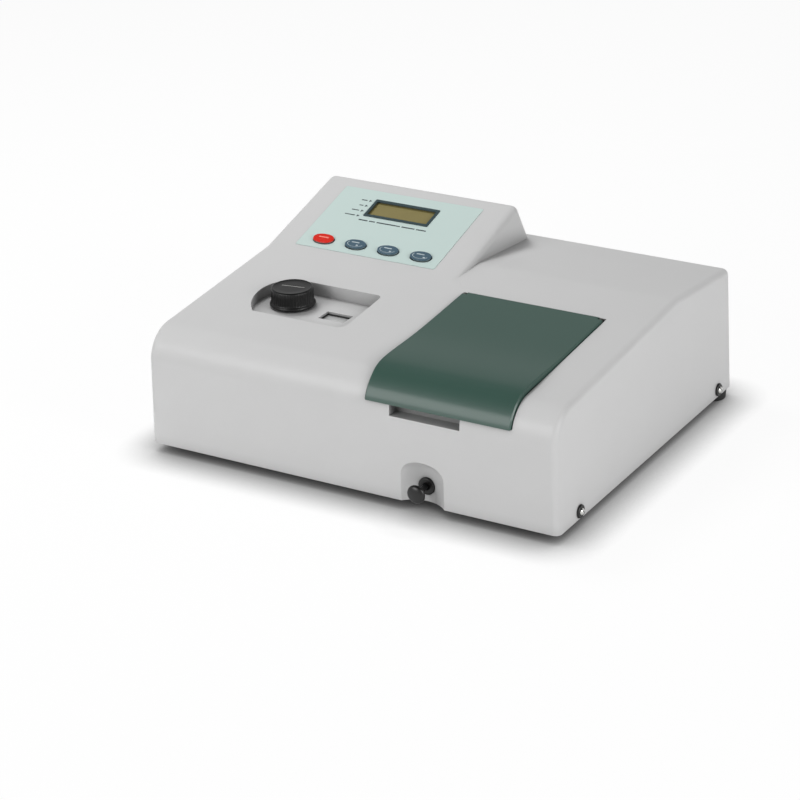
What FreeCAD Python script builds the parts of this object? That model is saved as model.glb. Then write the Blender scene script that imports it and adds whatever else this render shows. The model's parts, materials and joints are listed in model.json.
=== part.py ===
import FreeCAD
import Part
import math
import os
from FreeCAD import Vector, Placement, Rotation

# Bench spectrophotometer, modelled in millimetres.
# Working frame: x to the right, y to the back from the case's front bottom edge,
# z up from the case's bottom edge. The finished pieces are moved so that z = 0 is
# the bench and x = y = 0 is the middle of the footprint.

# Case outline
case_width = 472.0
case_middle = -1.0
case_depth = 397.0
front_corner_height = 122.0
top_slope = 4.95
knee_from_front = 266.0
top_fall = 5.2
side_draft = 1.5
front_draft = 0.45
back_draft = 0.95
front_round = 35.0
knee_round = 60.0
back_round = 8.0
side_round = 7.0
wall = 4.0

# Raised control housing at the left
hump_right_edge = 3.0
panel_from_front = 219.0
panel_slope = 15.65
ridge_from_front = 357.0
hump_back_lean = 28.0
hump_root = 12.0
hump_lead = 40.0
ridge_round = 9.0
hump_side_round = 8.0

# Feet
foot_height = 11.0
foot_radius = 13.9
front_foot_inset = 30.0
front_foot_y = 38.0
back_foot_inset = 14.5
back_foot_y = 382.0

# Sides of the small round pieces
round_sides = 24
small_sides = 12

# Base plate
plate_thickness = 2.0
plate_gap = 0.4
plate_flange = 18.0

# Screw heads in cup washers, low on the sides
side_screw_height = 8.0
side_screw_from_front = 44.0
side_screw_from_back = 35.0
cup_radius = 7.0
cup_thickness = 2.4
head_radius = 4.2
head_height = 3.0

# Sample compartment lid
lid_left = 23.5
lid_right = 184.0
lid_back = 199.5
lid_front_height = 100.6
lid_proud = 2.5
lid_sunk = 3.0
lid_skin = 2.5
lid_side_gap = 1.0
lid_rest_gap = 0.3
lid_border = 9.0
lid_edge_bevel = 1.2
ledge_thickness = 4.0
rib_thickness = 2.0
rib_count = 3

# Lid hinge
hinge_notch = 6.0
hinge_pin_radius = 1.0
running_gap = 0.05
hinge_pin_reach = 7.0
ear_thickness = 2.5
ear_half = 2.3

# Finger slot under the lid's front edge
slot_left = 50.5
slot_right = 128.7
slot_bottom = 88.4
slot_depth = 15.0
slot_hidden_height = 3.0
pocket_wall = 3.0

# Wavelength knob and its recess
knob_x = -140.4
knob_y = 129.3
recess_floor = 122.0
recess_left = -179.2
recess_right = -51.5
recess_front = 84.0
recess_back = 162.0
recess_sweep = 60.0
recess_round_left = 34.0
recess_round_front = 11.0
recess_round_back = 6.0
knob_top_radius = 22.3
knob_base_radius = 23.9
knob_height = 19.7
knob_flare_height = 3.2
knob_gap = 1.2
knob_flute_count = 24
knob_flute_depth = 0.9
knob_cap_step = 1.0
knob_cap_bevel = 1.8
knob_bore_end = 4.0
knob_shaft_radius = 3.0
knob_bush_radius = 6.0
knob_bush_rise = 0.9
knob_bush_drop = 2.0

# Dial window beside the knob
window_left = -98.6
window_right = -68.1
window_front = 111.3
window_back = 130.5
lens_thickness = 2.0
lens_border = 3.0

# Dial drive: pinion on the knob shaft, dial wheel, pinion and toothed sector
dial_module = 2.0
knob_pinion_teeth = 12
dial_wheel_teeth = 63
dial_direction = 31.0
dial_wheel_thickness = 3.0
dial_under_lens = 3.0
dial_shaft_radius = 3.0
dial_bore_hub = 8.0
sector_module = 1.0
dial_pinion_teeth = 12
sector_teeth = 120
sector_direction = -25.0
sector_span = 38.0
sector_thickness = 4.0
pressure_angle = 25.0
tooth_share = 0.46
pinion_overhang = 1.5
sector_lift = 2.0
sector_hub = 9.0
dial_hub_length = 8.0
bearing_gap = 0.3
shaft_seat = 12.0
bore_end_gap = 0.3
pillar_radius = 8.0

# Monochromator box
mono_left = -215.0
mono_right = 14.0
mono_front = 70.0
mono_back = 262.0
mono_height = 78.0
mono_wall = 5.0
mono_lid = 3.0
beam_height = 40.0
beam_from_front = 90.0
entrance_from_front = 225.0
slit_frame = 20.0
slit_thickness = 2.0
mirror_width = 44.0
mirror_height = 40.0
mirror_thickness = 6.0
mirror_x = -196.0
mirror_turn = 9.0
mirror_shift = 15.0
mount_thickness = 5.0
slit_hole = 7.0
slit_width = 1.0
slit_tall = 12.0
table_drop = 14.0
grating_width = 30.0
grating_height = 30.0
grating_thickness = 6.0
table_half = 12.0
grating_back = 9.0
table_thickness = 5.0
spindle_radius = 4.0

# Sample compartment
tub_left = 30.0
tub_right = 178.0
tub_front = 20.0
tub_back = 194.0
tub_wall = 2.0
port_radius = 8.0
port_glass = 2.0
port_glass_lap = 2.5

# Cell carriage
rod_x = 85.8
rod_height = 17.0
cell_slot = 12.7
cell_pitch = 17.0
cell_count = 4
carriage_width = 26.0
carriage_foot_width = 56.0
carriage_bottom = 9.0
carriage_foot_top = 23.0
carriage_top = 58.0
carriage_end = 5.0
slot_floor = 24.0
cell_window_width = 7.0
cell_window_height = 24.0
guide_offset = 21.0
guide_height = 16.0
guide_radius = 3.0

# Pull rod, its knob and its bush
pull_radius = 3.0
pull_knob_front = -16.0
pull_knob_thickness = 8.0
pull_knob_radius = 10.0
pull_thread = 6.0
bush_flange_radius = 9.1
bush_flange = 3.2

# Scoop round the pull rod
scoop_depth = 10.2
scoop_half_width = 24.2
scoop_top = 47.0
scoop_dome = 18.0

# Control panel
label_left = -201.3
label_right = -30.2
label_low = 12.4
label_high = 124.6
label_thickness = 0.5
label_corner = 1.5
display_left = -154.2
display_right = -74.8
display_low = 78.2
display_high = 109.0
display_frame_x = 3.0
display_frame_y = 3.4
display_proud = 0.9
display_sunk = 1.4
display_corner = 0.8
glass_lap = 2.0
glass_gap = 0.3
glass_thickness = 1.2
key_line = 27.2
key_first = -174.0
key_pitch = 40.0
key_count = 4
key_half_width = 12.4
key_half_height = 7.5
oval_sides = 28
oval_power = 0.93
key_proud = 2.6
key_lift = 1.3
key_travel = 1.0
key_rest_gap = 0.3
key_stem_width = 8.0
key_stem_height = 5.0
key_stem_gap = 0.4
board_thickness = 1.6
board_drop = 9.0
switch_size = 6.0
switch_height = 3.0
plunger_size = 3.0
display_board_drop = 8.0
post_radius = 3.2
board_border = 8.0

# Rear fittings
rear_left = -190.0
rear_right = -50.0
rear_bottom = 20.0
rear_top = 72.0
rear_lap = 6.0
rear_plate = 1.5
inlet_x = -160.0
inlet_height = 44.0
inlet_width = 31.0
inlet_tall = 24.0
inlet_flange = 2.0
inlet_body_depth = 16.0
inlet_hollow_width = 24.0
inlet_hollow_tall = 16.5
inlet_hollow_depth = 14.0
blade_width = 4.0
blade_thickness = 2.0
blade_length = 12.0
fuse_x = -123.0
fuse_radius = 7.5
fuse_depth = 20.0
fuse_cap_height = 6.0
fuse_flange = 1.5
fuse_neck = 1.5
switch_x = -82.0
switch_width = 25.0
switch_tall = 31.0
switch_flange = 2.0
switch_wall = 2.0
switch_body_depth = 14.0
rocker_tilt = 12.0
rocker_gap = 0.35
rocker_pivot = -4.0
vent_left = 40.0
vent_pitch = 13.0
vent_count = 11
vent_width = 5.0
vent_low = 30.0
vent_high = 84.0

# Power supply, lamp and boards on the base plate
lamp_left = 22.0
lamp_right = 84.0
lamp_front = 199.0
lamp_back = 251.0
lamp_height = 84.0
sheet = 1.5
lamp_x = 50.0
bulb_radius = 6.0
bulb_height = 27.0
socket_half = 9.0
socket_height = 18.0
condenser_hole = 10.0
condenser_radius = 13.0
condenser_thickness = 4.0
transformer_x = 150.0
transformer_y = 320.0
core_length = 66.0
core_depth = 30.0
core_height = 56.0
coil_overhang = 14.0
supply_left = 104.0
supply_right = 212.0
supply_front = 212.0
supply_back = 276.0
main_left = -205.0
main_right = -25.0
main_front = 276.0
main_back = 362.0
standoff_height = 8.0
heat_sink_fins = 7
can_radius = 8.0
can_height = 26.0
detector_depth = 26.0
detector_half = 18.0
cell_half = 6.0


def rad(angle):
    return math.radians(angle)


def slope_height(y):
    # Height of the sloping top in front of the knee
    front_y = front_corner_height * math.tan(rad(front_draft))
    return front_corner_height + (y - front_y) * math.tan(rad(top_slope))


def fall_height(y):
    # Height of the top behind the knee
    return slope_height(knee_from_front) - (y - knee_from_front) * math.tan(rad(top_fall))


def panel_height(y):
    return slope_height(panel_from_front) + (y - panel_from_front) * math.tan(rad(panel_slope))


def side_reach(z):
    # Half width of the case at a height
    return case_width / 2 - z * math.tan(rad(side_draft))


def box(x0, x1, y0, y1, z0, z1):
    return Part.makeBox(x1 - x0, y1 - y0, z1 - z0, Vector(x0, y0, z0))


def rod(radius, start, end):
    # Round bar between two points
    way = end - start
    return Part.makeCylinder(radius, way.Length, start, way)


def prism_x(loop, x0, x1):
    # Outline in a plane across x, carried from x0 to x1
    face = Part.Face(loop)
    solid = face.extrude(Vector(x1 - x0, 0, 0))
    solid.translate(Vector(x0, 0, 0))
    return solid


def rounded_loop(corners, radii):
    # Closed outline through the corners, each with its own rounding
    edges = []
    starts = []
    count = len(corners)
    for i in range(count):
        here = corners[i]
        before = (corners[i - 1] - here).normalize()
        after = (corners[(i + 1) % count] - here).normalize()
        half = before.getAngle(after) / 2
        run = radii[i] / math.tan(half)
        start = here + before * run
        end = here + after * run
        middle = here
        if radii[i] > 0:
            bisector = (before + after).normalize()
            middle = here + bisector * (radii[i] / math.sin(half) - radii[i])
        starts.append((start, middle, end))
    for i in range(count):
        start, middle, end = starts[i]
        if radii[i] > 0:
            edges.append(Part.Arc(start, middle, end).toShape())
        following = starts[(i + 1) % count][0]
        if end.distanceToPoint(following) > 0.001:
            edges.append(Part.makeLine(end, following))
    return Part.Wire(edges)


def rounded_plate(x0, x1, y0, y1, z0, z1, radius):
    # Flat plate with rounded corners, lying across z
    corners = [Vector(x0, y0, z0), Vector(x1, y0, z0), Vector(x1, y1, z0), Vector(x0, y1, z0)]
    loop = rounded_loop(corners, [radius] * 4)
    return Part.Face(loop).extrude(Vector(0, 0, z1 - z0))


def inset_corners(corners, depth):
    # Corners of the same outline moved inwards, for a clockwise outline seen from the right
    moved = []
    count = len(corners)
    for i in range(count):
        d1 = (corners[i] - corners[i - 1]).normalize()
        d2 = (corners[(i + 1) % count] - corners[i]).normalize()
        n1 = Vector(0, d1.z, -d1.y)
        n2 = Vector(0, d2.z, -d2.y)
        step = (n1 + n2) * (depth / (1 + n1.dot(n2)))
        moved.append(corners[i] + step)
    return moved


def front_edge(z):
    return z * math.tan(rad(front_draft))


def back_edge(z):
    return case_depth - z * math.tan(rad(back_draft))


def back_corner_height():
    # Where the falling top meets the back wall
    rise = fall_height(case_depth)
    return rise + rise * math.tan(rad(back_draft)) * math.tan(rad(top_fall))


def case_loop(depth, bottom):
    # Side outline of the case, moved inwards by depth
    top = back_corner_height()
    corners = [
        Vector(0, front_edge(bottom), bottom),
        Vector(0, front_edge(front_corner_height), front_corner_height),
        Vector(0, knee_from_front, slope_height(knee_from_front)),
        Vector(0, back_edge(top), top),
        Vector(0, back_edge(bottom), bottom),
    ]
    radii = [0, front_round - depth, knee_round - depth, back_round - depth, 0]
    return rounded_loop(inset_corners(corners, depth), radii)


def case_band(outer, inner, x0, x1, y_back, z_front):
    # Slab that follows the front and the sloping top between two depths
    reach = 60.0
    slab = prism_x(case_loop(outer, -reach), x0, x1).cut(
        prism_x(case_loop(inner, -reach - 1), x0 - 1, x1 + 1))
    keep = box(x0 - 1, x1 + 1, -reach, y_back, z_front, front_corner_height + 100)
    return slab.common(keep)


def side_wedge(depth, bottom, top, left, right):
    # Body between the two leaning side walls, moved inwards by depth
    inward = depth / math.cos(rad(side_draft))
    reach = case_depth + 200
    corners = [
        Vector(left(bottom) + inward, -100, bottom),
        Vector(right(bottom) - inward, -100, bottom),
        Vector(right(top) - inward, -100, top),
        Vector(left(top) + inward, -100, top),
    ]
    loop = Part.makePolygon(corners + [corners[0]])
    return Part.Face(loop).extrude(Vector(0, reach, 0))


def left_wall(z):
    return case_middle - side_reach(z)


def right_wall(z):
    return case_middle + side_reach(z)


def hump_wall(z):
    # Right wall of the control housing, leaning like the case
    base = fall_height(ridge_from_front)
    return hump_right_edge - (z - base) * math.tan(rad(side_draft))


def edges_on_wall(shape, wall_x, depth, lowest):
    # Edges that lie in a leaning side wall, without the bottom edge
    inward = depth / math.cos(rad(side_draft))
    found = []
    for edge in shape.Edges:
        points = [edge.valueAt(edge.FirstParameter), edge.valueAt(edge.LastParameter)]
        middle = edge.valueAt((edge.FirstParameter + edge.LastParameter) / 2)
        points.append(middle)
        on_wall = all(abs(abs(p.x - wall_x(p.z)) - inward) < 0.01 for p in points)
        low = all(p.z < lowest + 0.01 for p in points)
        if on_wall and not low:
            found.append(edge)
    return found


def main_body(depth, bottom):
    # The case without the control housing
    body = prism_x(case_loop(depth, bottom), -case_width, case_width)
    body = body.common(side_wedge(depth, bottom - 1, 300, left_wall, right_wall))
    if depth > 0:
        # The inside keeps square corners along the side walls
        return body
    edges = edges_on_wall(body, left_wall, depth, bottom) + edges_on_wall(body, right_wall, depth, bottom)
    return body.makeFillet(side_round, edges)


def hump_body(depth):
    # The control housing, its foot sunk in the case
    ridge = panel_height(ridge_from_front)
    low = fall_height(case_depth) - hump_root
    front_y = panel_from_front - hump_lead
    back_run = (ridge - low) * math.tan(rad(hump_back_lean))
    corners = [
        Vector(0, front_y, low),
        Vector(0, front_y, panel_height(front_y)),
        Vector(0, ridge_from_front, ridge),
        Vector(0, ridge_from_front + back_run, low),
    ]
    loop = rounded_loop(inset_corners(corners, depth), [0, 0, ridge_round - depth, 0])
    body = prism_x(loop, -case_width, case_width)
    body = body.common(side_wedge(depth, low - 1, 300, left_wall, hump_wall))
    if depth > 0:
        # The inside of the housing keeps square corners
        return body
    start = front_y + 0.01
    edges = []
    for edge in edges_on_wall(body, left_wall, depth, low) + edges_on_wall(body, hump_wall, depth, low):
        if edge.BoundBox.YMax > start:
            edges.append(edge)
    return body.makeFillet(hump_side_round, edges)


def case_body(depth, bottom):
    return main_body(depth, bottom).fuse(hump_body(depth)).removeSplitter()


def panel_place(x, s, n):
    # A point given across, up and out of the sloping control panel
    along = Vector(0, math.cos(rad(panel_slope)), math.sin(rad(panel_slope)))
    out = Vector(0, -math.sin(rad(panel_slope)), math.cos(rad(panel_slope)))
    foot = Vector(x, panel_from_front, slope_height(panel_from_front))
    return foot + along * s + out * n


def on_panel(shape):
    # Stands a shape drawn in x, y = up the panel, z = out of it, on the panel
    placed = shape.copy()
    turn = Placement(panel_place(0, 0, 0), Rotation(Vector(1, 0, 0), panel_slope))
    placed.transformShape(turn.toMatrix())
    return placed


def on_back(shape, x, height, depth):
    # Stands a shape drawn about the origin, y down and z out, on the back wall
    placed = shape.copy()
    out = Vector(0, math.cos(rad(back_draft)), math.sin(rad(back_draft)))
    foot = Vector(x, back_edge(height), height) - out * depth
    turn = Placement(foot, Rotation(Vector(1, 0, 0), back_draft - 90))
    placed.transformShape(turn.toMatrix())
    return placed


def on_side(shape, side, y, height):
    # Stands a shape drawn about the origin, z out, on a leaning side wall
    placed = shape.copy()
    foot = Vector(case_middle + side * side_reach(height), y, height)
    turn = Placement(foot, Rotation(Vector(0, 1, 0), side * (90 - side_draft)))
    placed.transformShape(turn.toMatrix())
    return placed


def group(shapes):
    return Part.makeCompound(shapes)


def prism(radius, sides, z0, z1):
    # Upright many-sided bar for a small round piece
    points = []
    for i in range(sides):
        angle = 2 * math.pi * (i + 0.5) / sides
        points.append(Vector(radius * math.cos(angle), radius * math.sin(angle), z0))
    return Part.Face(Part.makePolygon(points + [points[0]])).extrude(Vector(0, 0, z1 - z0))


def along(shape, start, direction):
    # Turns an upright shape to a direction and sets its foot at the start
    placed = shape.copy()
    placed.Placement = Placement(start, Rotation(Vector(0, 0, 1), direction))
    return placed


def oval(half_x, half_y, z0, z1):
    # Upright bar with a plump oval outline of many short sides
    points = []
    for i in range(oval_sides):
        angle = 2 * math.pi * i / oval_sides
        cross = math.cos(angle)
        rise = math.sin(angle)
        points.append(Vector(
            half_x * math.copysign(abs(cross) ** oval_power, cross),
            half_y * math.copysign(abs(rise) ** oval_power, rise), z0))
    return Part.Face(Part.makePolygon(points + [points[0]])).extrude(Vector(0, 0, z1 - z0))


def at(shape, x, y, z):
    moved = shape.copy()
    moved.translate(Vector(x, y, z))
    return moved


def spun(shape, angle, centre):
    moved = shape.copy()
    moved.rotate(centre, Vector(0, 0, 1), angle)
    return moved


# Places that several pieces share
lid_gap_depth = lid_sunk + lid_rest_gap
ledge_depth = lid_gap_depth + ledge_thickness
nose_radius = (lid_proud + lid_sunk) / 2
hinge_surface_y = lid_back - nose_radius * math.cos(rad(top_slope))
hinge_drop = (lid_sunk - lid_proud) / 2
hinge_y = hinge_surface_y + hinge_drop * math.sin(rad(top_slope))
hinge_z = slope_height(hinge_surface_y) - hinge_drop * math.cos(rad(top_slope))
recess_under = recess_floor - wall
lens_under = recess_under - lens_thickness
dial_top = lens_under - dial_under_lens
dial_bottom = dial_top - dial_wheel_thickness
knob_bottom = recess_floor + knob_gap
dial_distance = dial_module * (knob_pinion_teeth + dial_wheel_teeth) / 2
dial_x = knob_x + dial_distance * math.cos(rad(dial_direction))
dial_y = knob_y + dial_distance * math.sin(rad(dial_direction))
sector_distance = sector_module * (dial_pinion_teeth + sector_teeth) / 2
grating_x = dial_x + sector_distance * math.cos(rad(sector_direction))
grating_y = dial_y + sector_distance * math.sin(rad(sector_direction))
mono_top = plate_thickness + mono_height + mono_lid
sector_bottom = mono_top + sector_lift
sector_top = sector_bottom + sector_thickness
first_cell_y = beam_from_front
carriage_front = first_cell_y - cell_slot / 2 - carriage_end
carriage_back = first_cell_y + (cell_count - 1) * cell_pitch + cell_slot / 2 + carriage_end
scoop_radius = (scoop_half_width ** 2 + scoop_depth ** 2) / (2 * scoop_depth)
scoop_y = scoop_depth - scoop_radius
display_cell_left = display_left + display_frame_x
display_cell_right = display_right - display_frame_x
display_cell_low = display_low + display_frame_y
display_cell_high = display_high - display_frame_y
key_places = [key_first + i * key_pitch for i in range(key_count)]
side_screw_places = [
    (side, y) for side in (-1, 1) for y in (side_screw_from_front, case_depth - side_screw_from_back)]
foot_places = [
    (case_middle + side * (case_width / 2 - inset), y)
    for side in (-1, 1)
    for inset, y in ((front_foot_inset, front_foot_y), (back_foot_inset, back_foot_y))]
mirror_places = [
    (beam_from_front + mirror_shift, mirror_turn), (entrance_from_front - mirror_shift, -mirror_turn)]
vent_places = [vent_left + i * vent_pitch for i in range(vent_count)]


def scoop_shape(grow):
    # Upright half drum with a domed top, sunk in the front wall round the pull rod
    drum = Part.makeCylinder(scoop_radius + grow, scoop_top + grow + 30, Vector(rod_x, scoop_y, -30))
    if grow > 0:
        # Behind the wall the drum keeps a flat top
        return drum
    rim = [edge for edge in drum.Edges if edge.BoundBox.ZMin > scoop_top - 0.01]
    return drum.makeFillet(scoop_dome, rim)


def recess_shape(grow, low):
    # Plan of the knob recess: a swept left end round the knob, small corners by the window
    left = recess_left - grow
    right = recess_right + grow
    front = recess_front - grow
    back = recess_back + grow
    sweep = recess_sweep + grow
    small = recess_round_left + grow
    level = back - small
    hub = Vector(left + sweep, level, low)
    tip_angle = math.asin((level - front) / sweep)
    tip = hub + Vector(-sweep * math.cos(tip_angle), -sweep * math.sin(tip_angle), 0)
    bend = hub + Vector(-sweep * math.cos(tip_angle / 2), -sweep * math.sin(tip_angle / 2), 0)
    side = Vector(left, level, low)
    small_hub = Vector(left + small, level, low)
    small_bend = small_hub + Vector(-small * math.cos(rad(45)), small * math.sin(rad(45)), 0)
    small_end = small_hub + Vector(0, small, 0)
    corners = [tip, Vector(right, front, low), Vector(right, back, low), small_end, side]
    radii = [0, recess_round_front + grow, recess_round_back + grow, 0, 0]
    loop = rounded_loop(corners, radii)
    edges = loop.Edges[:-2]
    edges.append(Part.Arc(small_end, small_bend, side).toShape())
    edges.append(Part.Arc(side, bend, tip).toShape())
    return Part.Face(Part.Wire(edges)).extrude(Vector(0, 0, 60))


def finger_pocket(grow):
    return box(
        slot_left - grow, slot_right + grow, -5 + grow, slot_depth + grow,
        slot_bottom - grow, lid_front_height + slot_hidden_height + grow)


def tub_outline(inset, low, high):
    return box(
        tub_left + inset, tub_right - inset, tub_front + inset, tub_back - inset, low, high)


def make_top_cover():
    # One moulded shell: sloping top, control housing, knob recess, lid seat, slot and scoop
    outside = case_body(0, 0)
    cavity = case_body(wall, -10)
    seat_left = lid_left - lid_side_gap
    seat_right = lid_right + lid_side_gap
    seat_back = lid_back + lid_side_gap
    thick = [
        case_band(
            -1, ledge_depth, seat_left - pocket_wall, seat_right + pocket_wall,
            seat_back + pocket_wall, lid_front_height - pocket_wall),
        finger_pocket(pocket_wall),
        recess_shape(wall, recess_under),
        scoop_shape(wall),
    ]
    cavity = cavity.cut(thick)
    cover = outside.cut(cavity)
    seat = case_band(-10, lid_gap_depth, seat_left, seat_right, seat_back, lid_front_height - lid_rest_gap)
    openings = [
        seat,
        tub_outline(tub_wall, lid_front_height, 200),
        finger_pocket(0),
        recess_shape(0, recess_floor),
        scoop_shape(0),
        Part.makeCylinder(knob_bush_radius, 20, Vector(knob_x, knob_y, recess_under - 5)),
        box(window_left, window_right, window_front, window_back, recess_under - 5, recess_floor + 5),
        Part.makeCylinder(
            bush_flange_radius + running_gap, 20,
            Vector(rod_x, scoop_depth - 20, rod_height), Vector(0, 1, 0)),
        Part.makeCylinder(pull_radius + 1, 30, Vector(rod_x, 0, rod_height), Vector(0, 1, 0)),
        on_panel(box(
            display_cell_left - glass_lap - glass_gap, display_cell_right + glass_lap + glass_gap,
            display_cell_low - glass_lap - glass_gap, display_cell_high + glass_lap + glass_gap,
            -2 * wall, 1)),
        box(
            rear_left + rear_lap, rear_right - rear_lap, case_depth - 3 * wall, case_depth + 5,
            rear_bottom + rear_lap, rear_top - rear_lap),
    ]
    for x in key_places:
        openings.append(on_panel(at(key_slot(-2 * wall, 1), x, key_line, 0)))
    for x in vent_places:
        openings.append(box(
            x, x + vent_width, case_depth - 3 * wall, case_depth + 5, vent_low, vent_high))
    return cover.cut(openings)


def make_base_plate():
    # Pressed steel tray with its edges turned up inside the cover
    outer_depth = wall + plate_gap
    inner_depth = outer_depth + plate_thickness
    tray = main_body(outer_depth, -outer_depth).common(
        box(-case_width, case_width, 0, case_depth, 0, plate_flange))
    hollow = main_body(inner_depth, -inner_depth).common(
        box(-case_width, case_width, 0, case_depth, plate_thickness, plate_flange + 1))
    tray = tray.cut(hollow)
    return tray.cut(scoop_shape(wall + plate_gap))


def make_feet():
    # Rubber blocks stuck under the base plate
    return group([at(prism(foot_radius, round_sides, -foot_height, 0), x, y, 0) for x, y in foot_places])


def make_side_screws():
    # Screw heads standing in their cup washers
    cups = []
    screws = []
    for side, y in side_screw_places:
        cups.append(on_side(prism(cup_radius, round_sides, 0, cup_thickness), side, y, side_screw_height))
        head = prism(head_radius, small_sides, cup_thickness, cup_thickness + head_height)
        screws.append(on_side(head, side, y, side_screw_height))
    return group(cups), group(screws)


def lid_back_plane(y_offset):
    # Block behind the plane through the hinge axis, square to the sloping top
    block = box(-case_width, case_width, y_offset, 60, -60, 60)
    block.rotate(Vector(0, 0, 0), Vector(1, 0, 0), top_slope)
    return at(block, 0, hinge_y, hinge_z)


def make_lid():
    # Moulded lid: follows the sloping top and rolls over the front rounding
    lid = case_band(-lid_proud, lid_sunk, lid_left, lid_right, lid_back + 5, lid_front_height)
    rims = []
    for edge in lid.Edges:
        flat = edge.BoundBox.XLength < 0.001
        top_side = edge.valueAt((edge.FirstParameter + edge.LastParameter) / 2)
        inside = prism_x(case_loop(0, -10), -case_width, case_width).isInside(top_side, 0.01, True)
        along = edge.BoundBox.YLength + edge.BoundBox.ZLength > 2 * (lid_proud + lid_sunk)
        if flat and along and not inside:
            rims.append(edge)
    lid = lid.makeChamfer(lid_edge_bevel, rims)
    lid = lid.cut(lid_back_plane(0))
    hollow = case_band(
        lid_skin - lid_proud, lid_sunk + 1, lid_left + lid_border, lid_right - lid_border,
        hinge_y - lid_border, lid_front_height + lid_border)
    gap = (lid_right - lid_left - 2 * lid_border) / (rib_count + 1)
    for i in range(rib_count):
        rib_x = lid_left + lid_border + gap * (i + 1)
        hollow = hollow.cut(box(
            rib_x - rib_thickness / 2, rib_x + rib_thickness / 2, -50, case_depth, 0, 300))
    lid = lid.cut(hollow)
    nose_left = lid_left + hinge_notch
    nose_right = lid_right - hinge_notch
    nose = rod(nose_radius, Vector(nose_left, hinge_y, hinge_z), Vector(nose_right, hinge_y, hinge_z))
    lid = lid.fuse(nose)
    cuts = []
    for x0, x1 in ((lid_left - 1, nose_left), (nose_right, lid_right + 1)):
        notch = lid_back_plane(-ear_half - 1.2)
        cuts.append(notch.common(box(x0, x1, 0, case_depth, 0, 300)))
    bore = hinge_pin_radius + running_gap
    deep = hinge_pin_reach + 0.5
    cuts.append(rod(bore, Vector(nose_left - 1, hinge_y, hinge_z), Vector(nose_left + deep, hinge_y, hinge_z)))
    cuts.append(rod(bore, Vector(nose_right - deep, hinge_y, hinge_z), Vector(nose_right + 1, hinge_y, hinge_z)))
    return lid.cut(cuts)


def make_hinge():
    # Steel ears standing on the ledge, and the pins they hold
    ears = []
    pins = []
    under = prism_x(case_loop(lid_gap_depth, -10), -case_width, case_width)
    side = (hinge_notch - ear_thickness) / 2
    for x0, way in ((lid_left + side, 1), (lid_right - side - ear_thickness, -1)):
        x1 = x0 + ear_thickness
        tab = box(x0, x1, hinge_y - ear_half, hinge_y + ear_half, hinge_z - 10, hinge_z)
        tab = tab.fuse(along(prism(ear_half, small_sides, 0, ear_thickness), Vector(x0, hinge_y, hinge_z),
                             Vector(1, 0, 0)))
        tab = tab.cut(under)
        near = x0 if way > 0 else x1
        far = lid_left + hinge_notch + hinge_pin_reach
        if way < 0:
            far = lid_right - hinge_notch - hinge_pin_reach
        pin = rod(hinge_pin_radius, Vector(near, hinge_y, hinge_z), Vector(far, hinge_y, hinge_z))
        ears.append(tab.cut(pin))
        pins.append(pin)
    return group(ears), group(pins)


def make_tub():
    # Black sheet box under the lid, open at the top against the ledge
    tub = tub_outline(0, plate_thickness, 200).cut(
        tub_outline(tub_wall, plate_thickness + tub_wall, 201))
    tub = tub.common(prism_x(case_loop(ledge_depth, -10), 0, case_width))
    cuts = [
        rod(port_radius, Vector(tub_left - 1, beam_from_front, beam_height),
            Vector(tub_right + 1, beam_from_front, beam_height)),
        rod(pull_radius + 1, Vector(rod_x, tub_front - 1, rod_height),
            Vector(rod_x, tub_front + tub_wall + 1, rod_height)),
    ]
    return tub.cut(cuts)


def make_ports():
    # Glass discs that close the light ports from inside the tub
    glass = []
    for x0, way in ((tub_left + tub_wall, 1), (tub_right - tub_wall, -1)):
        start = Vector(x0, beam_from_front, beam_height)
        disc = prism(port_radius + port_glass_lap, round_sides, 0, port_glass)
        glass.append(along(disc, start, Vector(way, 0, 0)))
    return glass


def make_carriage():
    # Block with a row of square cells, light windows and two sliding bores
    foot = box(
        rod_x - carriage_foot_width / 2, rod_x + carriage_foot_width / 2,
        carriage_front, carriage_back, carriage_bottom, carriage_foot_top)
    body = box(
        rod_x - carriage_width / 2, rod_x + carriage_width / 2,
        carriage_front, carriage_back, carriage_foot_top - 1, carriage_top)
    block = foot.fuse(body).removeSplitter()
    cuts = []
    half = cell_slot / 2
    for i in range(cell_count):
        y = first_cell_y + i * cell_pitch
        cuts.append(box(rod_x - half, rod_x + half, y - half, y + half, slot_floor, carriage_top + 1))
        cuts.append(box(
            rod_x - carriage_width, rod_x + carriage_width,
            y - cell_window_width / 2, y + cell_window_width / 2,
            beam_height - cell_window_height / 2, beam_height + cell_window_height / 2))
    for side in (-1, 1):
        x = rod_x + side * guide_offset
        cuts.append(rod(guide_radius + running_gap, Vector(x, carriage_front - 1, guide_height),
                        Vector(x, carriage_back + 1, guide_height)))
    cuts.append(rod(pull_radius, Vector(rod_x, carriage_front - 1, rod_height),
                    Vector(rod_x, carriage_front + pull_thread, rod_height)))
    return block.cut(cuts)


def make_guide_rods():
    rods = []
    for side in (-1, 1):
        x = rod_x + side * guide_offset
        rods.append(rod(guide_radius, Vector(x, tub_front + tub_wall, guide_height),
                        Vector(x, tub_back - tub_wall, guide_height)))
    return group(rods)


def make_pull_rod():
    knob_back = pull_knob_front + pull_knob_thickness
    bar = rod(pull_radius, Vector(rod_x, knob_back - pull_thread / 2, rod_height),
              Vector(rod_x, carriage_front + pull_thread, rod_height))
    knob = along(prism(pull_knob_radius, round_sides, 0, pull_knob_thickness),
                 Vector(rod_x, pull_knob_front, rod_height), Vector(0, 1, 0))
    return bar, knob.cut(bar)


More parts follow.
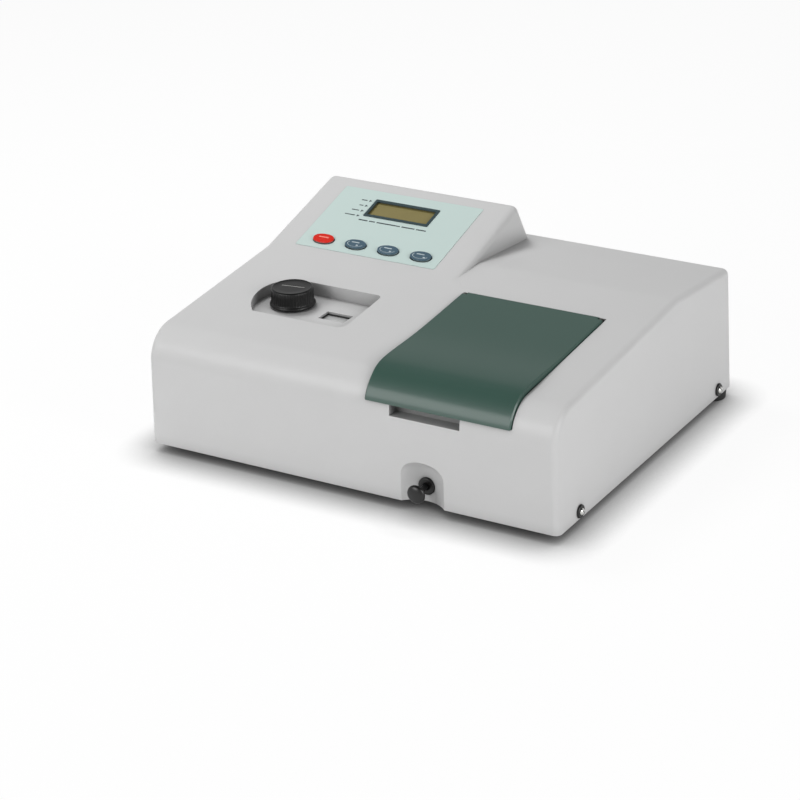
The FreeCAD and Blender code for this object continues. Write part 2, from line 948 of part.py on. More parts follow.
def make_rod_bush():
    # Flat ring let into the back of the scoop, with a running fit on the rod
    start = Vector(rod_x, scoop_depth - bush_flange, rod_height)
    ring = along(prism(bush_flange_radius, round_sides, 0, bush_flange), start, Vector(0, 1, 0))
    return ring.cut(rod(pull_radius + running_gap, start - Vector(0, 1, 0),
                        Vector(rod_x, scoop_depth + 1, rod_height)))


def make_knob():
    # Knob with a broad foot, a fluted wall and a stepped cap, on its shaft
    r1 = knob_top_radius
    cap_low = knob_height - knob_cap_step
    foot = prism(knob_base_radius, 2 * round_sides, 0, knob_flare_height)
    step = 2 * math.pi / knob_flute_count
    points = []
    for i in range(knob_flute_count):
        for share, r in ((0.0, r1), (0.5, r1 - knob_flute_depth)):
            angle = (i + share) * step
            points.append(Vector(r * math.cos(angle), r * math.sin(angle), knob_flare_height))
    fluted = Part.Face(Part.makePolygon(points + [points[0]])).extrude(
        Vector(0, 0, cap_low - knob_flare_height))
    cap = prism(r1 - knob_cap_bevel, 2 * round_sides, cap_low, knob_height)
    knob = foot.fuse([fluted, cap])
    bore_top = knob_height - knob_bore_end
    knob = knob.cut(Part.makeCylinder(knob_shaft_radius, bore_top + 1, Vector(0, 0, -1)))
    shaft_low = dial_bottom - pinion_overhang - bearing_gap - shaft_seat
    shaft = rod(knob_shaft_radius, Vector(knob_x, knob_y, shaft_low),
                Vector(knob_x, knob_y, knob_bottom + bore_top))
    return at(knob, knob_x, knob_y, knob_bottom), shaft


def make_knob_bush():
    # Plain sleeve through the recess floor
    low = recess_under - knob_bush_drop
    high = recess_floor + knob_bush_rise
    sleeve = at(prism(knob_bush_radius, round_sides, low, high), knob_x, knob_y, 0)
    return sleeve.cut(rod(knob_shaft_radius + running_gap, Vector(knob_x, knob_y, low - 1),
                          Vector(knob_x, knob_y, high + 1)))


def tooth_points(teeth, module, middle, flanks):
    # Both flanks of one tooth about a middle angle, from root to tip on the involute
    pitch = teeth * module / 2
    press = rad(pressure_angle)
    base = pitch * math.cos(press)
    root = pitch - 1.25 * module
    tip = pitch + module
    start = max(base, root)
    opening = math.tan(press) - press
    side = []
    for i in range(flanks):
        r = start + (tip - start) * i / (flanks - 1)
        turn = math.acos(min(1.0, base / r))
        side.append((r, tooth_share * math.pi / teeth + opening - (math.tan(turn) - turn)))
    if base > root:
        side.insert(0, (root, side[0][1]))
    rising = [(r, middle - half) for r, half in side]
    falling = [(r, middle + half) for r, half in reversed(side)]
    return rising + falling


def polar(points, z):
    return [Vector(r * math.cos(a), r * math.sin(a), z) for r, a in points]


def gear(teeth, module, turn, z0, z1, bore, flanks):
    # Spur gear about the origin with a tooth centred on the turn angle
    points = []
    for i in range(teeth):
        points += polar(tooth_points(teeth, module, rad(turn) + 2 * math.pi * i / teeth, flanks), z0)
    loop = Part.makePolygon(points + [points[0]])
    blank = Part.Face(loop).extrude(Vector(0, 0, z1 - z0))
    return blank.cut(Part.makeCylinder(bore, z1 - z0 + 2, Vector(0, 0, z0 - 1)))


def make_knob_pinion():
    low = dial_bottom - pinion_overhang
    high = dial_top + pinion_overhang
    pinion = gear(knob_pinion_teeth, dial_module, dial_direction, low, high, knob_shaft_radius, 2)
    return at(pinion, knob_x, knob_y, 0)


def make_dial():
    # Dial wheel with its scale face, the shaft, and the small pinion under it
    half_tooth = 180.0 / dial_wheel_teeth
    wheel = gear(
        dial_wheel_teeth, dial_module, dial_direction + 180 + half_tooth,
        dial_bottom, dial_top, dial_shaft_radius, 2)
    hub = Part.makeCylinder(dial_bore_hub, dial_hub_length, Vector(0, 0, dial_bottom - dial_hub_length))
    wheel = wheel.fuse(hub).cut(
        Part.makeCylinder(dial_shaft_radius, 4 * dial_hub_length, Vector(0, 0, dial_bottom - 2 * dial_hub_length)))
    pinion = gear(
        dial_pinion_teeth, sector_module, sector_direction,
        sector_bottom - pinion_overhang / 2, sector_top + pinion_overhang, dial_shaft_radius, 2)
    shaft = Part.makeCylinder(
        dial_shaft_radius, dial_top + 1 - (mono_top - shaft_seat), Vector(0, 0, mono_top - shaft_seat))
    return at(wheel, dial_x, dial_y, 0), at(pinion, dial_x, dial_y, 0), at(shaft, dial_x, dial_y, 0)


def make_sector():
    # Toothed sector on the grating spindle
    step = 360.0 / sector_teeth
    middle = sector_direction + 180
    count = int(sector_span / step / 2)
    points = []
    for i in range(-count, count):
        points += polar(tooth_points(
            sector_teeth, sector_module, rad(middle + (i + 0.5) * step), 2), sector_bottom)
    centre = Vector(0, 0, sector_bottom)
    arm = Part.Face(Part.makePolygon([centre] + points + [centre])).extrude(Vector(0, 0, sector_thickness))
    arm = arm.fuse(Part.makeCylinder(sector_hub, sector_thickness, centre))
    arm = arm.cut(Part.makeCylinder(spindle_radius, 3 * sector_thickness, centre - Vector(0, 0, sector_thickness)))
    return at(arm, grating_x, grating_y, 0)


def make_grating():
    # Turntable hung from its spindle, with the ruled plate on its front
    table_top = plate_thickness + mono_height - table_drop
    table_low = table_top - table_thickness
    plate_low = beam_height - grating_height / 2
    half = grating_width / 2
    table = box(-table_half, table_half, -half, half, table_low, table_top)
    back = box(0, grating_back, -half, half, plate_low, table_low)
    spindle = Part.makeCylinder(spindle_radius, sector_top + 1 - table_low, Vector(0, 0, table_low))
    holder = table.fuse([back, spindle])
    plate = box(-grating_thickness, 0, -half, half, plate_low, plate_low + grating_height)
    return at(holder, grating_x, grating_y, 0), at(plate, grating_x, grating_y, 0)


def make_mono():
    # Cast box with ledges for the mirrors, its lid with two bores and the knob shaft's pillar
    low = plate_thickness
    high = low + mono_height
    casting = box(mono_left, mono_right, mono_front, mono_back, low, high)
    casting = casting.cut(box(
        mono_left + mono_wall, mono_right - mono_wall, mono_front + mono_wall, mono_back - mono_wall,
        low + mono_wall, high + 1))
    casting = casting.fuse([mirror_mount(y, turn) for y, turn in mirror_places])
    ports = []
    for y in (beam_from_front, entrance_from_front):
        ports.append(rod(slit_hole, Vector(mono_right - mono_wall - 1, y, beam_height),
                         Vector(mono_right + 1, y, beam_height)))
    casting = casting.cut(ports)
    cover = box(mono_left, mono_right, mono_front, mono_back, high, mono_top)
    pillar_top = dial_bottom - pinion_overhang - bearing_gap
    cover = cover.fuse(Part.makeCylinder(
        pillar_radius, pillar_top - mono_top, Vector(knob_x, knob_y, mono_top)))
    deep = 2 * mono_lid
    bores = [
        Part.makeCylinder(dial_shaft_radius + running_gap, 2 * deep, Vector(dial_x, dial_y, mono_top - deep)),
        Part.makeCylinder(spindle_radius + running_gap, 2 * deep, Vector(grating_x, grating_y, mono_top - deep)),
        Part.makeCylinder(
            knob_shaft_radius + running_gap, 3 * shaft_seat,
            Vector(knob_x, knob_y, pillar_top - shaft_seat - bore_end_gap)),
    ]
    return casting, cover.cut(bores)


def mirror_mount(y, turn):
    # Upright ledge cast on the floor of the box behind a mirror
    mount = box(mirror_x - mount_thickness, mirror_x, y - mirror_width / 2, y + mirror_width / 2,
                plate_thickness + mono_wall - 1, beam_height + mirror_height / 2)
    return spun(mount, turn, Vector(mirror_x, y, 0))


def make_optics():
    slits = []
    for y in (beam_from_front, entrance_from_front):
        half = slit_frame / 2
        frame = box(mono_right, mono_right + slit_thickness, y - half, y + half,
                    beam_height - half, beam_height + half)
        slits.append(frame.cut(box(mono_right - 1, mono_right + slit_thickness + 1, y - slit_width / 2,
                                   y + slit_width / 2, beam_height - slit_tall / 2,
                                   beam_height + slit_tall / 2)))
    mirrors = []
    for y, turn in mirror_places:
        blank = box(mirror_x, mirror_x + mirror_thickness, y - mirror_width / 2, y + mirror_width / 2,
                    beam_height - mirror_height / 2, beam_height + mirror_height / 2)
        mirrors.append(spun(blank, turn, Vector(mirror_x, y, 0)))
    return group(slits), group(mirrors)


def make_lamp():
    # Sheet housing with a lamp on its socket and a condenser lens on its light opening
    low = plate_thickness
    house = box(lamp_left, lamp_right, lamp_front, lamp_back, low, lamp_height)
    house = house.cut(box(lamp_left + sheet, lamp_right - sheet, lamp_front + sheet, lamp_back - sheet,
                          low - 1, lamp_height - sheet))
    opening = Vector(lamp_left + sheet, entrance_from_front, beam_height)
    cuts = [rod(condenser_hole, opening - Vector(2 * sheet, 0, 0), opening + Vector(1, 0, 0))]
    for i in range(5):
        y = lamp_front + 8 + 9 * i
        cuts.append(box(lamp_left + 10, lamp_right - 10, y, y + 4, lamp_height - 5, lamp_height + 5))
    house = house.cut(cuts)
    lens = along(prism(condenser_radius, round_sides, 0, condenser_thickness), opening, Vector(1, 0, 0))
    bulb_low = low + socket_height
    bulb = prism(bulb_radius, small_sides, 0, bulb_height)
    bulb = at(bulb, lamp_x, entrance_from_front, bulb_low)
    socket = box(lamp_x - socket_half, lamp_x + socket_half, entrance_from_front - socket_half,
                 entrance_from_front + socket_half, low, bulb_low)
    return house, lens, bulb, socket


def key_slot(z0, z1):
    # Slot in the panel that guides a key's stem
    half_x = key_stem_width / 2 + key_stem_gap
    half_y = key_stem_height / 2 + key_stem_gap
    return box(-half_x, half_x, -half_y, half_y, z0, z1)


def hex_post(x, y, z0, z1):
    # Six-sided spacer between a board and what carries it
    points = [Vector(x + post_radius * math.cos(rad(60 * i)), y + post_radius * math.sin(rad(60 * i)), z0)
              for i in range(6)]
    return Part.Face(Part.makePolygon(points + [points[0]])).extrude(Vector(0, 0, z1 - z0))


def make_control_panel():
    # Film label, display with its frame, and the boards hung under the panel
    cuts = [box(display_left + 1, display_right - 1, display_low + 1, display_high - 1, -1, 2)]
    for x in key_places:
        cuts.append(at(key_slot(-1, 2), x, key_line, 0))
    label = rounded_plate(
        label_left, label_right, label_low, label_high, 0, label_thickness, label_corner).cut(cuts)
    frame = rounded_plate(
        display_left, display_right, display_low, display_high, label_thickness,
        label_thickness + display_proud, display_corner)
    lip = box(display_left + 1, display_right - 1, display_low + 1, display_high - 1, 0, label_thickness)
    frame = frame.fuse(lip)
    frame = frame.cut(box(display_cell_left, display_cell_right, display_cell_low, display_cell_high, -1, 5))
    edge = glass_lap
    glass = box(display_cell_left - edge, display_cell_right + edge, display_cell_low - edge,
                display_cell_high + edge, -display_sunk - glass_thickness, -display_sunk)
    cell = box(display_cell_left - edge, display_cell_right + edge, display_cell_low - edge,
               display_cell_high + edge, -display_board_drop, -display_sunk - glass_thickness)
    border = board_border
    boards = [box(display_left - border, display_right + border, display_low - border / 2,
                  display_high + border / 2, -display_board_drop - board_thickness, -display_board_drop)]
    posts = []
    for x in (display_left - border / 2, display_right + border / 2):
        for s in (display_low, display_high):
            posts.append(hex_post(x, s, -display_board_drop, -wall))
    key_top = -wall - board_drop
    boards.append(box(key_places[0] - 22, key_places[-1] + 22, key_line - 14, key_line + 14,
                      key_top - board_thickness, key_top))
    switches = []
    half = switch_size / 2
    tip = plunger_size / 2
    for x in key_places:
        case = box(x - half, x + half, key_line - half, key_line + half, key_top, key_top + switch_height)
        switches.append(case.fuse(box(x - tip, x + tip, key_line - tip, key_line + tip,
                                      key_top + switch_height, key_top + switch_height + 1)))
    for x in (key_places[0] - 18, key_places[-1] + 18):
        for s in (key_line - 10, key_line + 10):
            posts.append(hex_post(x, s, key_top, -wall))
    pieces = [on_panel(piece) for piece in (label, frame, glass, cell)]
    loose = [[on_panel(piece) for piece in pile] for pile in (boards, posts, switches)]
    return pieces, loose


def make_key(x):
    # Oval key cap just off the panel, on a flat stem that reaches down to its switch
    low = label_thickness + key_lift
    cap = oval(key_half_width, key_half_height, low, label_thickness + key_proud)
    stem_low = -wall - board_drop + switch_height + 1 + key_travel + key_rest_gap
    half_x = key_stem_width / 2
    half_y = key_stem_height / 2
    stem = box(-half_x, half_x, -half_y, half_y, stem_low, low)
    return on_panel(at(cap.fuse(stem), x, key_line, 0))


def make_rear():
    # Steel panel inside the back wall, with inlet, fuse holder and rocker switch
    plate = prism_x(case_loop(wall, -10), rear_left, rear_right).cut(
        prism_x(case_loop(wall + rear_plate, -20), rear_left - 1, rear_right + 1))
    plate = plate.common(box(rear_left, rear_right, case_depth / 2, case_depth + 10, rear_bottom, rear_top))
    inlet_body = box(
        -inlet_width / 2 + 2, inlet_width / 2 - 2, -inlet_tall / 2 + 2, inlet_tall / 2 - 2,
        -inlet_body_depth, 0)
    inlet = inlet_body.fuse(box(
        -inlet_width / 2, inlet_width / 2, -inlet_tall / 2, inlet_tall / 2, 0, inlet_flange))
    hollow_corners = [
        Vector(-inlet_hollow_width / 2, inlet_hollow_tall / 2, 0),
        Vector(inlet_hollow_width / 2, inlet_hollow_tall / 2, 0),
        Vector(inlet_hollow_width / 2, -inlet_hollow_tall / 4, 0),
        Vector(inlet_hollow_width / 3.4, -inlet_hollow_tall / 2, 0),
        Vector(-inlet_hollow_width / 3.4, -inlet_hollow_tall / 2, 0),
        Vector(-inlet_hollow_width / 2, -inlet_hollow_tall / 4, 0),
    ]
    hollow = Part.Face(Part.makePolygon(hollow_corners + [hollow_corners[0]])).extrude(
        Vector(0, 0, inlet_hollow_depth + inlet_flange + 1))
    inlet = inlet.cut(at(hollow, 0, 0, -inlet_hollow_depth))
    blades = []
    for x, y in ((-7, 2), (7, 2), (0, -2)):
        blades.append(box(
            x - blade_thickness / 2, x + blade_thickness / 2, y - blade_width / 2, y + blade_width / 2,
            -inlet_hollow_depth, -inlet_hollow_depth + blade_length))
    fuse = prism(fuse_radius - fuse_neck, round_sides, -fuse_depth, fuse_cap_height)
    fuse = fuse.fuse(prism(fuse_radius, round_sides, 0, fuse_flange))
    fuse = fuse.cut(box(-fuse_radius, fuse_radius, -0.6, 0.6, fuse_cap_height - 1.5, fuse_cap_height + 1))
    w = switch_width / 2
    t = switch_tall / 2
    switch = box(-w, w, -t, t, 0, switch_flange)
    switch = switch.fuse(box(-w + 1.5, w - 1.5, -t + 1.5, t - 1.5, -switch_body_depth, 0))
    switch = switch.cut(box(-w + 1.5 + switch_wall, w - 1.5 - switch_wall, -t + 1.5 + switch_wall - 1,
                            t - 1.5 - switch_wall + 1, -switch_body_depth + switch_wall, switch_flange + 1))
    rocker_half = w - 1.5 - switch_wall - rocker_gap
    pivot = Vector(0, 0, rocker_pivot)
    profile = [(-10.6, -2), (-10.6, 4.2), (0, 1.4), (10.6, 4.2), (10.6, -2), (0, -7.5)]
    loop = [Vector(-rocker_half, y, z) for y, z in profile]
    rocker = Part.Face(Part.makePolygon(loop + [loop[0]])).extrude(Vector(2 * rocker_half, 0, 0))
    rocker.rotate(pivot, Vector(1, 0, 0), rocker_tilt)
    pin = rod(1.2, Vector(-w + 1.5, 0, rocker_pivot), Vector(w - 1.5, 0, rocker_pivot))
    rocker = rocker.cut(rod(1.2 + running_gap, Vector(-w, 0, rocker_pivot), Vector(w, 0, rocker_pivot)))
    switch = switch.fuse(pin)
    holes = [
        on_back(inlet_body.copy(), inlet_x, inlet_height, wall),
        on_back(Part.makeCylinder(fuse_radius - 1.5, 40, Vector(0, 0, -20)), fuse_x, inlet_height, wall),
        on_back(box(-w + 1.5, w - 1.5, -t + 1.5, t - 1.5, -20, 5), switch_x, inlet_height, wall),
    ]
    plate = plate.cut(holes)
    return {
        "rear_panel": plate,
        "mains_inlet": on_back(inlet, inlet_x, inlet_height, wall),
        "inlet_blades": on_back(group(blades), inlet_x, inlet_height, wall),
        "fuse_holder": on_back(fuse, fuse_x, inlet_height, wall),
        "switch_housing": on_back(switch, switch_x, inlet_height, wall),
        "power_rocker": on_back(rocker, switch_x, inlet_height, wall),
    }


def make_electronics():
    # Transformer, two boards on posts, a heat sink, capacitors and chips
    low = plate_thickness
    core = box(transformer_x - core_length / 2, transformer_x + core_length / 2,
               transformer_y - core_depth / 2, transformer_y + core_depth / 2, low, low + core_height)
    coil = box(transformer_x - core_length / 4 - 5, transformer_x + core_length / 4 + 5,
               transformer_y - core_depth / 2 - coil_overhang, transformer_y + core_depth / 2 + coil_overhang,
               low + 9, low + core_height - 9)
    coil = coil.cut(core)
    top = low + standoff_height
    boards = []
    posts = []
    for x0, x1, y0, y1 in ((supply_left, supply_right, supply_front, supply_back),
                           (main_left, main_right, main_front, main_back)):
        boards.append(box(x0, x1, y0, y1, top, top + board_thickness))
        for x in (x0 + 6, x1 - 6):
            for y in (y0 + 6, y1 - 6):
                posts.append(hex_post(x, y, low, top))
    top = top + board_thickness
    sink = box(supply_left + 12, supply_left + 62, supply_back - 22, supply_back - 4, top, top + 4)
    for i in range(heat_sink_fins):
        x = supply_left + 12 + i * 8
        sink = sink.fuse(box(x, x + 2, supply_back - 22, supply_back - 4, top + 3, top + 28))
    loads = []
    for x in (supply_left + 18, supply_left + 40):
        loads.append(Part.makeCylinder(can_radius, can_height, Vector(x, supply_front + 18, top)))
    for x, y, lx, ly in ((-170, 320, 30, 14), (-120, 320, 40, 14), (-70, 335, 24, 10), (-70, 305, 24, 10)):
        loads.append(box(x - lx / 2, x + lx / 2, y - ly / 2, y + ly / 2, top, top + 4))
    return {
        "transformer_core": core, "transformer_coil": coil, "heat_sink": sink.removeSplitter(),
    }, (boards, posts, loads)


def make_detector():
    # Black box on the tub's right wall with the photocell at its far end
    x0 = tub_right
    y = beam_from_front
    case = box(x0, x0 + detector_depth, y - detector_half, y + detector_half,
               beam_height - detector_half, beam_height + detector_half)
    hollow = box(x0 - 1, x0 + detector_depth - sheet, y - detector_half + sheet, y + detector_half - sheet,
                 beam_height - detector_half + sheet, beam_height + detector_half - sheet)
    cell = box(x0 + detector_depth - sheet - 8, x0 + detector_depth - sheet, y - cell_half, y + cell_half,
               beam_height - cell_half, beam_height + cell_half)
    return case.cut(hollow).fuse(cell)


parts = {}
parts["top_cover"] = make_top_cover()
parts["base_plate"] = make_base_plate()
parts["rubber_feet"] = make_feet()
parts["cup_washers"], parts["side_screws"] = make_side_screws()
parts["sample_lid"] = make_lid()
parts["hinge_ears"], parts["hinge_pins"] = make_hinge()
parts["sample_compartment"] = make_tub()
parts["cell_carriage"] = make_carriage()
parts["guide_rods"] = make_guide_rods()
parts["pull_rod"], parts["pull_knob"] = make_pull_rod()
parts["rod_bush"] = make_rod_bush()
parts["wavelength_knob"], parts["knob_shaft"] = make_knob()
parts["knob_bush"] = make_knob_bush()
parts["knob_pinion"] = make_knob_pinion()
parts["dial_wheel"], parts["dial_pinion"], parts["dial_shaft"] = make_dial()
parts["sector_arm"] = make_sector()
parts["grating_table"], parts["grating"] = make_grating()
parts["mono_casting"], parts["mono_lid"] = make_mono()
parts["slit_plates"], parts["mirrors"] = make_optics()
parts["lamp_housing"], lens, parts["lamp_bulb"], parts["lamp_socket"] = make_lamp()
parts["light_windows"] = group(make_ports() + [lens])
parts["dial_lens"] = box(
    window_left - lens_border, window_right + lens_border, window_front - lens_border,
    window_back + lens_border, lens_under, recess_under)
panel_names = ("panel_label", "display_bezel", "display_glass", "display_cell")
panel_pieces, panel_loose = make_control_panel()
parts.update(zip(panel_names, panel_pieces))
for number, x in enumerate(key_places):
    parts["key_%d" % (number + 1)] = make_key(x)
parts.update(make_rear())
supply_pieces, supply_loose = make_electronics()
parts.update(supply_pieces)
for name, under, inside in zip(("circuit_boards", "board_posts", "board_parts"), panel_loose, supply_loose):
    parts[name] = group(under + inside)
parts["detector_box"] = make_detector()

# The bench is z = 0, and the middle of the whole footprint is x = y = 0
back_most = max(parts["top_cover"].BoundBox.YMax, parts["power_rocker"].BoundBox.YMax)
shift = Vector(-case_middle, -(pull_knob_front + back_most) / 2, foot_height)
os.makedirs("parts", exist_ok=True)
for name, shape in parts.items():
    shape.translate(shift)
    shape.exportStep("parts/" + name + ".step")
print("pieces", len(parts))
print("moved by", shift)
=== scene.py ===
import json
import math
import bmesh
import bpy
import numpy as np
from mathutils import Matrix, Vector


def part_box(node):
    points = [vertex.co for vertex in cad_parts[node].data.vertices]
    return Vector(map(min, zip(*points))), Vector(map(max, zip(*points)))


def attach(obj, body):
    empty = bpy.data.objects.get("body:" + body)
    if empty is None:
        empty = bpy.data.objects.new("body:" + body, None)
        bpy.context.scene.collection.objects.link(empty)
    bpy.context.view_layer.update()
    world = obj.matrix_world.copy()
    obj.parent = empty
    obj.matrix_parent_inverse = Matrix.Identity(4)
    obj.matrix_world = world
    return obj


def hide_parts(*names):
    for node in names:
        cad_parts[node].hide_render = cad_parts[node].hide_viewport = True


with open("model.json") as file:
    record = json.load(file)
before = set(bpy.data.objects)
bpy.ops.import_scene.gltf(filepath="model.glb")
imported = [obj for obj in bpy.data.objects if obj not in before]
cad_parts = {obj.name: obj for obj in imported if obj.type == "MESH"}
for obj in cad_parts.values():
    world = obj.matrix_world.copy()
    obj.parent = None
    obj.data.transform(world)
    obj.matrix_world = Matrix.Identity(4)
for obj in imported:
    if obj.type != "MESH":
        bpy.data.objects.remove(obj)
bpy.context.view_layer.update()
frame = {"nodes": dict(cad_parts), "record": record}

nodes = frame["nodes"]


# Studio bench: a plain white laminate top that runs to the horizon and keeps the
# instrument's soft shadow. It lies loose under the rubber feet.
def linear(code):
    """Linear colour of an sRGB hex code: c / 12.92 below 0.04045, else ((c + 0.055) / 1.055) ** 2.4."""
    parts = [int(code[i:i + 2], 16) / 255 for i in (1, 3, 5)]
    return tuple(c / 12.92 if c <= 0.04045 else ((c + 0.055) / 1.055) ** 2.4 for c in parts) + (1.0,)


def add(tree, kind, settings=None, links=None):
    """Adds a shader node. Settings are attributes, or sockets by name or number. Links join its sockets to others."""
    made = tree.nodes.new(kind)
    for key, value in (settings or {}).items():
        if isinstance(key, int) or key in made.inputs:
            made.inputs[key].default_value = value
        else:
            setattr(made, key, value)
    for key, source in (links or {}).items():
        tree.links.new(source, made.inputs[key])
    return made


def empty_material(name):
    """A material with nothing but its output, and the output node."""
    material = bpy.data.materials.new(name)
    material.use_nodes = True
    material.node_tree.nodes.clear()
    return material, material.node_tree.nodes.new("ShaderNodeOutputMaterial")


def mesh_piece(name, vertices, faces, smooth=True):
    """An object at the origin whose mesh holds these points and these lists of point numbers."""
    mesh = bpy.data.meshes.new(name)
    mesh.from_pydata(np.asarray(vertices, float).tolist(), [], faces)
    mesh.polygons.foreach_set("use_smooth", np.full(len(mesh.polygons), smooth))
    piece = bpy.data.objects.new(name, mesh)
    bpy.context.scene.collection.objects.link(piece)
    return piece


bench_half = 6.0
bench_corners = bench_half * np.array([(-1, -1, 0), (1, -1, 0), (1, 1, 0), (-1, 1, 0)])
bench = mesh_piece("bench", bench_corners, [(0, 1, 2, 3)])
# White laminate: matt to light, and its own glow makes it nearly plain white to the camera
glow_share = 0.92
bench_white, output = empty_material("white_laminate_bench")
tree = bench_white.node_tree
path = add(tree, "ShaderNodeLightPath")
seen = add(tree, "ShaderNodeMath", {"operation": "MAXIMUM"},
           {0: path.outputs["Is Camera Ray"], 1: path.outputs["Is Glossy Ray"]})
seen = add(tree, "ShaderNodeMath", {"operation": "MAXIMUM"},
           {0: seen.outputs[0], 1: path.outputs["Is Transmission Ray"]})
share = add(tree, "ShaderNodeMath", {"operation": "MULTIPLY", 1: glow_share}, {0: seen.outputs[0]})
matt = add(tree, "ShaderNodeBsdfDiffuse", {"Color": linear("#FAFAFA")})
# Painted contact shadow: what stands close over the laminate darkens its glow by ambient occlusion, so the contact
# shadow stays deep
under = add(tree, "ShaderNodeAmbientOcclusion", {"samples": 12, "Distance": 0.046})
contact_shadow = add(tree, "ShaderNodeMath", {"operation": "POWER", 1: 1.7}, {0: under.outputs["AO"]})
glow = add(tree, "ShaderNodeEmission", {"Color": (1, 1, 1, 1)}, {"Strength": contact_shadow.outputs[0]})
both = add(tree, "ShaderNodeMixShader", {}, {0: share.outputs[0], 1: matt.outputs[0], 2: glow.outputs[0]})
tree.links.new(both.outputs[0], output.inputs[0])
bench.data.materials.append(bench_white)

# Studio air: a white backdrop to the camera, a dim even light on the instrument, and in its
# reflections a sky that is pale near the horizon and dark overhead.
world = bpy.data.worlds.new("studio")
bpy.context.scene.world = world
world.use_nodes = True
tree = world.node_tree
tree.nodes.clear()
path = add(tree, "ShaderNodeLightPath")
seen = add(tree, "ShaderNodeMath", {"operation": "MAXIMUM"},
           {0: path.outputs["Is Camera Ray"], 1: path.outputs["Is Transmission Ray"]})
even = add(tree, "ShaderNodeBackground", {"Color": (1, 1, 1, 1), "Strength": 0.24})
backdrop = add(tree, "ShaderNodeBackground", {"Color": (1, 1, 1, 1), "Strength": 1.0})
way = add(tree, "ShaderNodeSeparateXYZ", {}, {0: add(tree, "ShaderNodeTexCoord").outputs["Generated"]})
height = add(tree, "ShaderNodeMapRange", {"From Min": 0.4, "From Max": 0.85, "To Min": 0.6, "To Max": 0.03},
             {"Value": way.outputs["Z"]})
mirrored = add(tree, "ShaderNodeBackground", {"Color": (1, 1, 1, 1)}, {"Strength": height.outputs[0]})
soft = add(tree, "ShaderNodeMixShader", {},
           {0: path.outputs["Is Glossy Ray"], 1: even.outputs[0], 2: mirrored.outputs[0]})
both = add(tree, "ShaderNodeMixShader", {}, {0: seen.outputs[0], 1: soft.outputs[0], 2: backdrop.outputs[0]})
add(tree, "ShaderNodeOutputWorld", {}, {0: both.outputs[0]})
bpy.context.scene.view_settings.view_transform = "Standard"


# Three soft boxes: a small one overhead that leaves no gloss, a wide one high at the left
# front that rounds the front edge, and one low at the right that lifts the side.
def soft_box(name, place, aim, width, height, power):
    """A soft rectangular lamp at a place, turned towards an aim."""
    lamp = bpy.data.lights.new(name, "AREA")
    lamp.shape = "RECTANGLE"
    lamp.size = width
    lamp.size_y = height
    lamp.energy = power
    holder = bpy.data.objects.new(name, lamp)
    bpy.context.scene.collection.objects.link(holder)
    way = Vector(place) - Vector(aim)
    holder.matrix_world = Matrix.Translation(place) @ way.to_track_quat("Z", "Y").to_matrix().to_4x4()
    return holder


lamp_aim = (0, 0, 0.1)
over = soft_box("over_light", (-0.9, 0.35, 1.7), lamp_aim, 0.6, 0.6, 17)
over.visible_glossy = False
soft_box("front_light", (-0.9, -2.1, 1.2), lamp_aim, 1.6, 1.0, 25)
soft_box("right_light", (2.2, -0.5, 1.0), lamp_aim, 0.9, 0.9, 24)

# Camera: a long lens high at the right front. Its turns, in radians, and its place, in
# metres, were solved from the straight edges of the case in the photo.
turn_right = 0.549
look_down = 0.4244
roll = -0.0353
lens_pixels = 2663.78
frame_pixels = 800
sensor = 36.0
camera_place = Vector((1.28209, -2.18073, 1.17298))
backwards = Vector((math.sin(turn_right) * math.cos(look_down),
                    -math.cos(turn_right) * math.cos(look_down), math.sin(look_down)))
across = (-backwards).cross(Vector((0, 0, 1))).normalized()
upwards = across.cross(-backwards)
rolled_across = math.cos(roll) * across + math.sin(roll) * upwards
rolled_up = -math.sin(roll) * across + math.cos(roll) * upwards
camera = bpy.data.objects.new("camera", bpy.data.cameras.new("camera"))
bpy.context.scene.collection.objects.link(camera)
camera.matrix_world = Matrix.Translation(camera_place) @ Matrix(
    (rolled_across, rolled_up, backwards)).transposed().to_4x4()
camera.data.lens = lens_pixels * sensor / frame_pixels
camera.data.sensor_width = sensor
camera.data.clip_end = 50
bpy.context.scene.camera = camera

# Moulded top cover of light grey ABS, sprayed with a satin paint that has a fine orange peel.
# It is one shell with rounded side edges, the raised control housing, the knob recess, the
# seat of the lid, the finger slot and the scoop round the pull rod. Four screws hold it.
MM = 0.001
weld = 0.002 * MM


def smooth_copy(name, node, corner=32.0):
    """A CAD node's shape with doubled points merged, smooth except where faces meet past the corner angle."""
    mesh = nodes[node].data.copy()
    mesh.name = name
    mesh.materials.clear()
    work = bmesh.new()
    work.from_mesh(mesh)
    bmesh.ops.remove_doubles(work, verts=work.verts, dist=weld)
    work.to_mesh(mesh)
    work.free()
    if "custom_normal" in mesh.attributes:
        mesh.attributes.remove(mesh.attributes["custom_normal"])
    mesh.polygons.foreach_set("use_smooth", np.ones(len(mesh.polygons), bool))
    mesh.set_sharp_from_angle(angle=math.radians(corner))
    piece = bpy.data.objects.new(name, mesh)
    bpy.context.scene.collection.objects.link(piece)
    return piece


def settle(piece, body, slot, material, *replaced):
    """Gives a finished piece its body and material, and hides the CAD nodes that it stands for. The slot is not used.
    """
    piece.data.materials.clear()
    piece.data.materials.append(material)
    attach(piece, body)
    if replaced:
        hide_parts(*replaced)


slow_grain = 40 * MM
cavity_shade_reach = 22 * MM


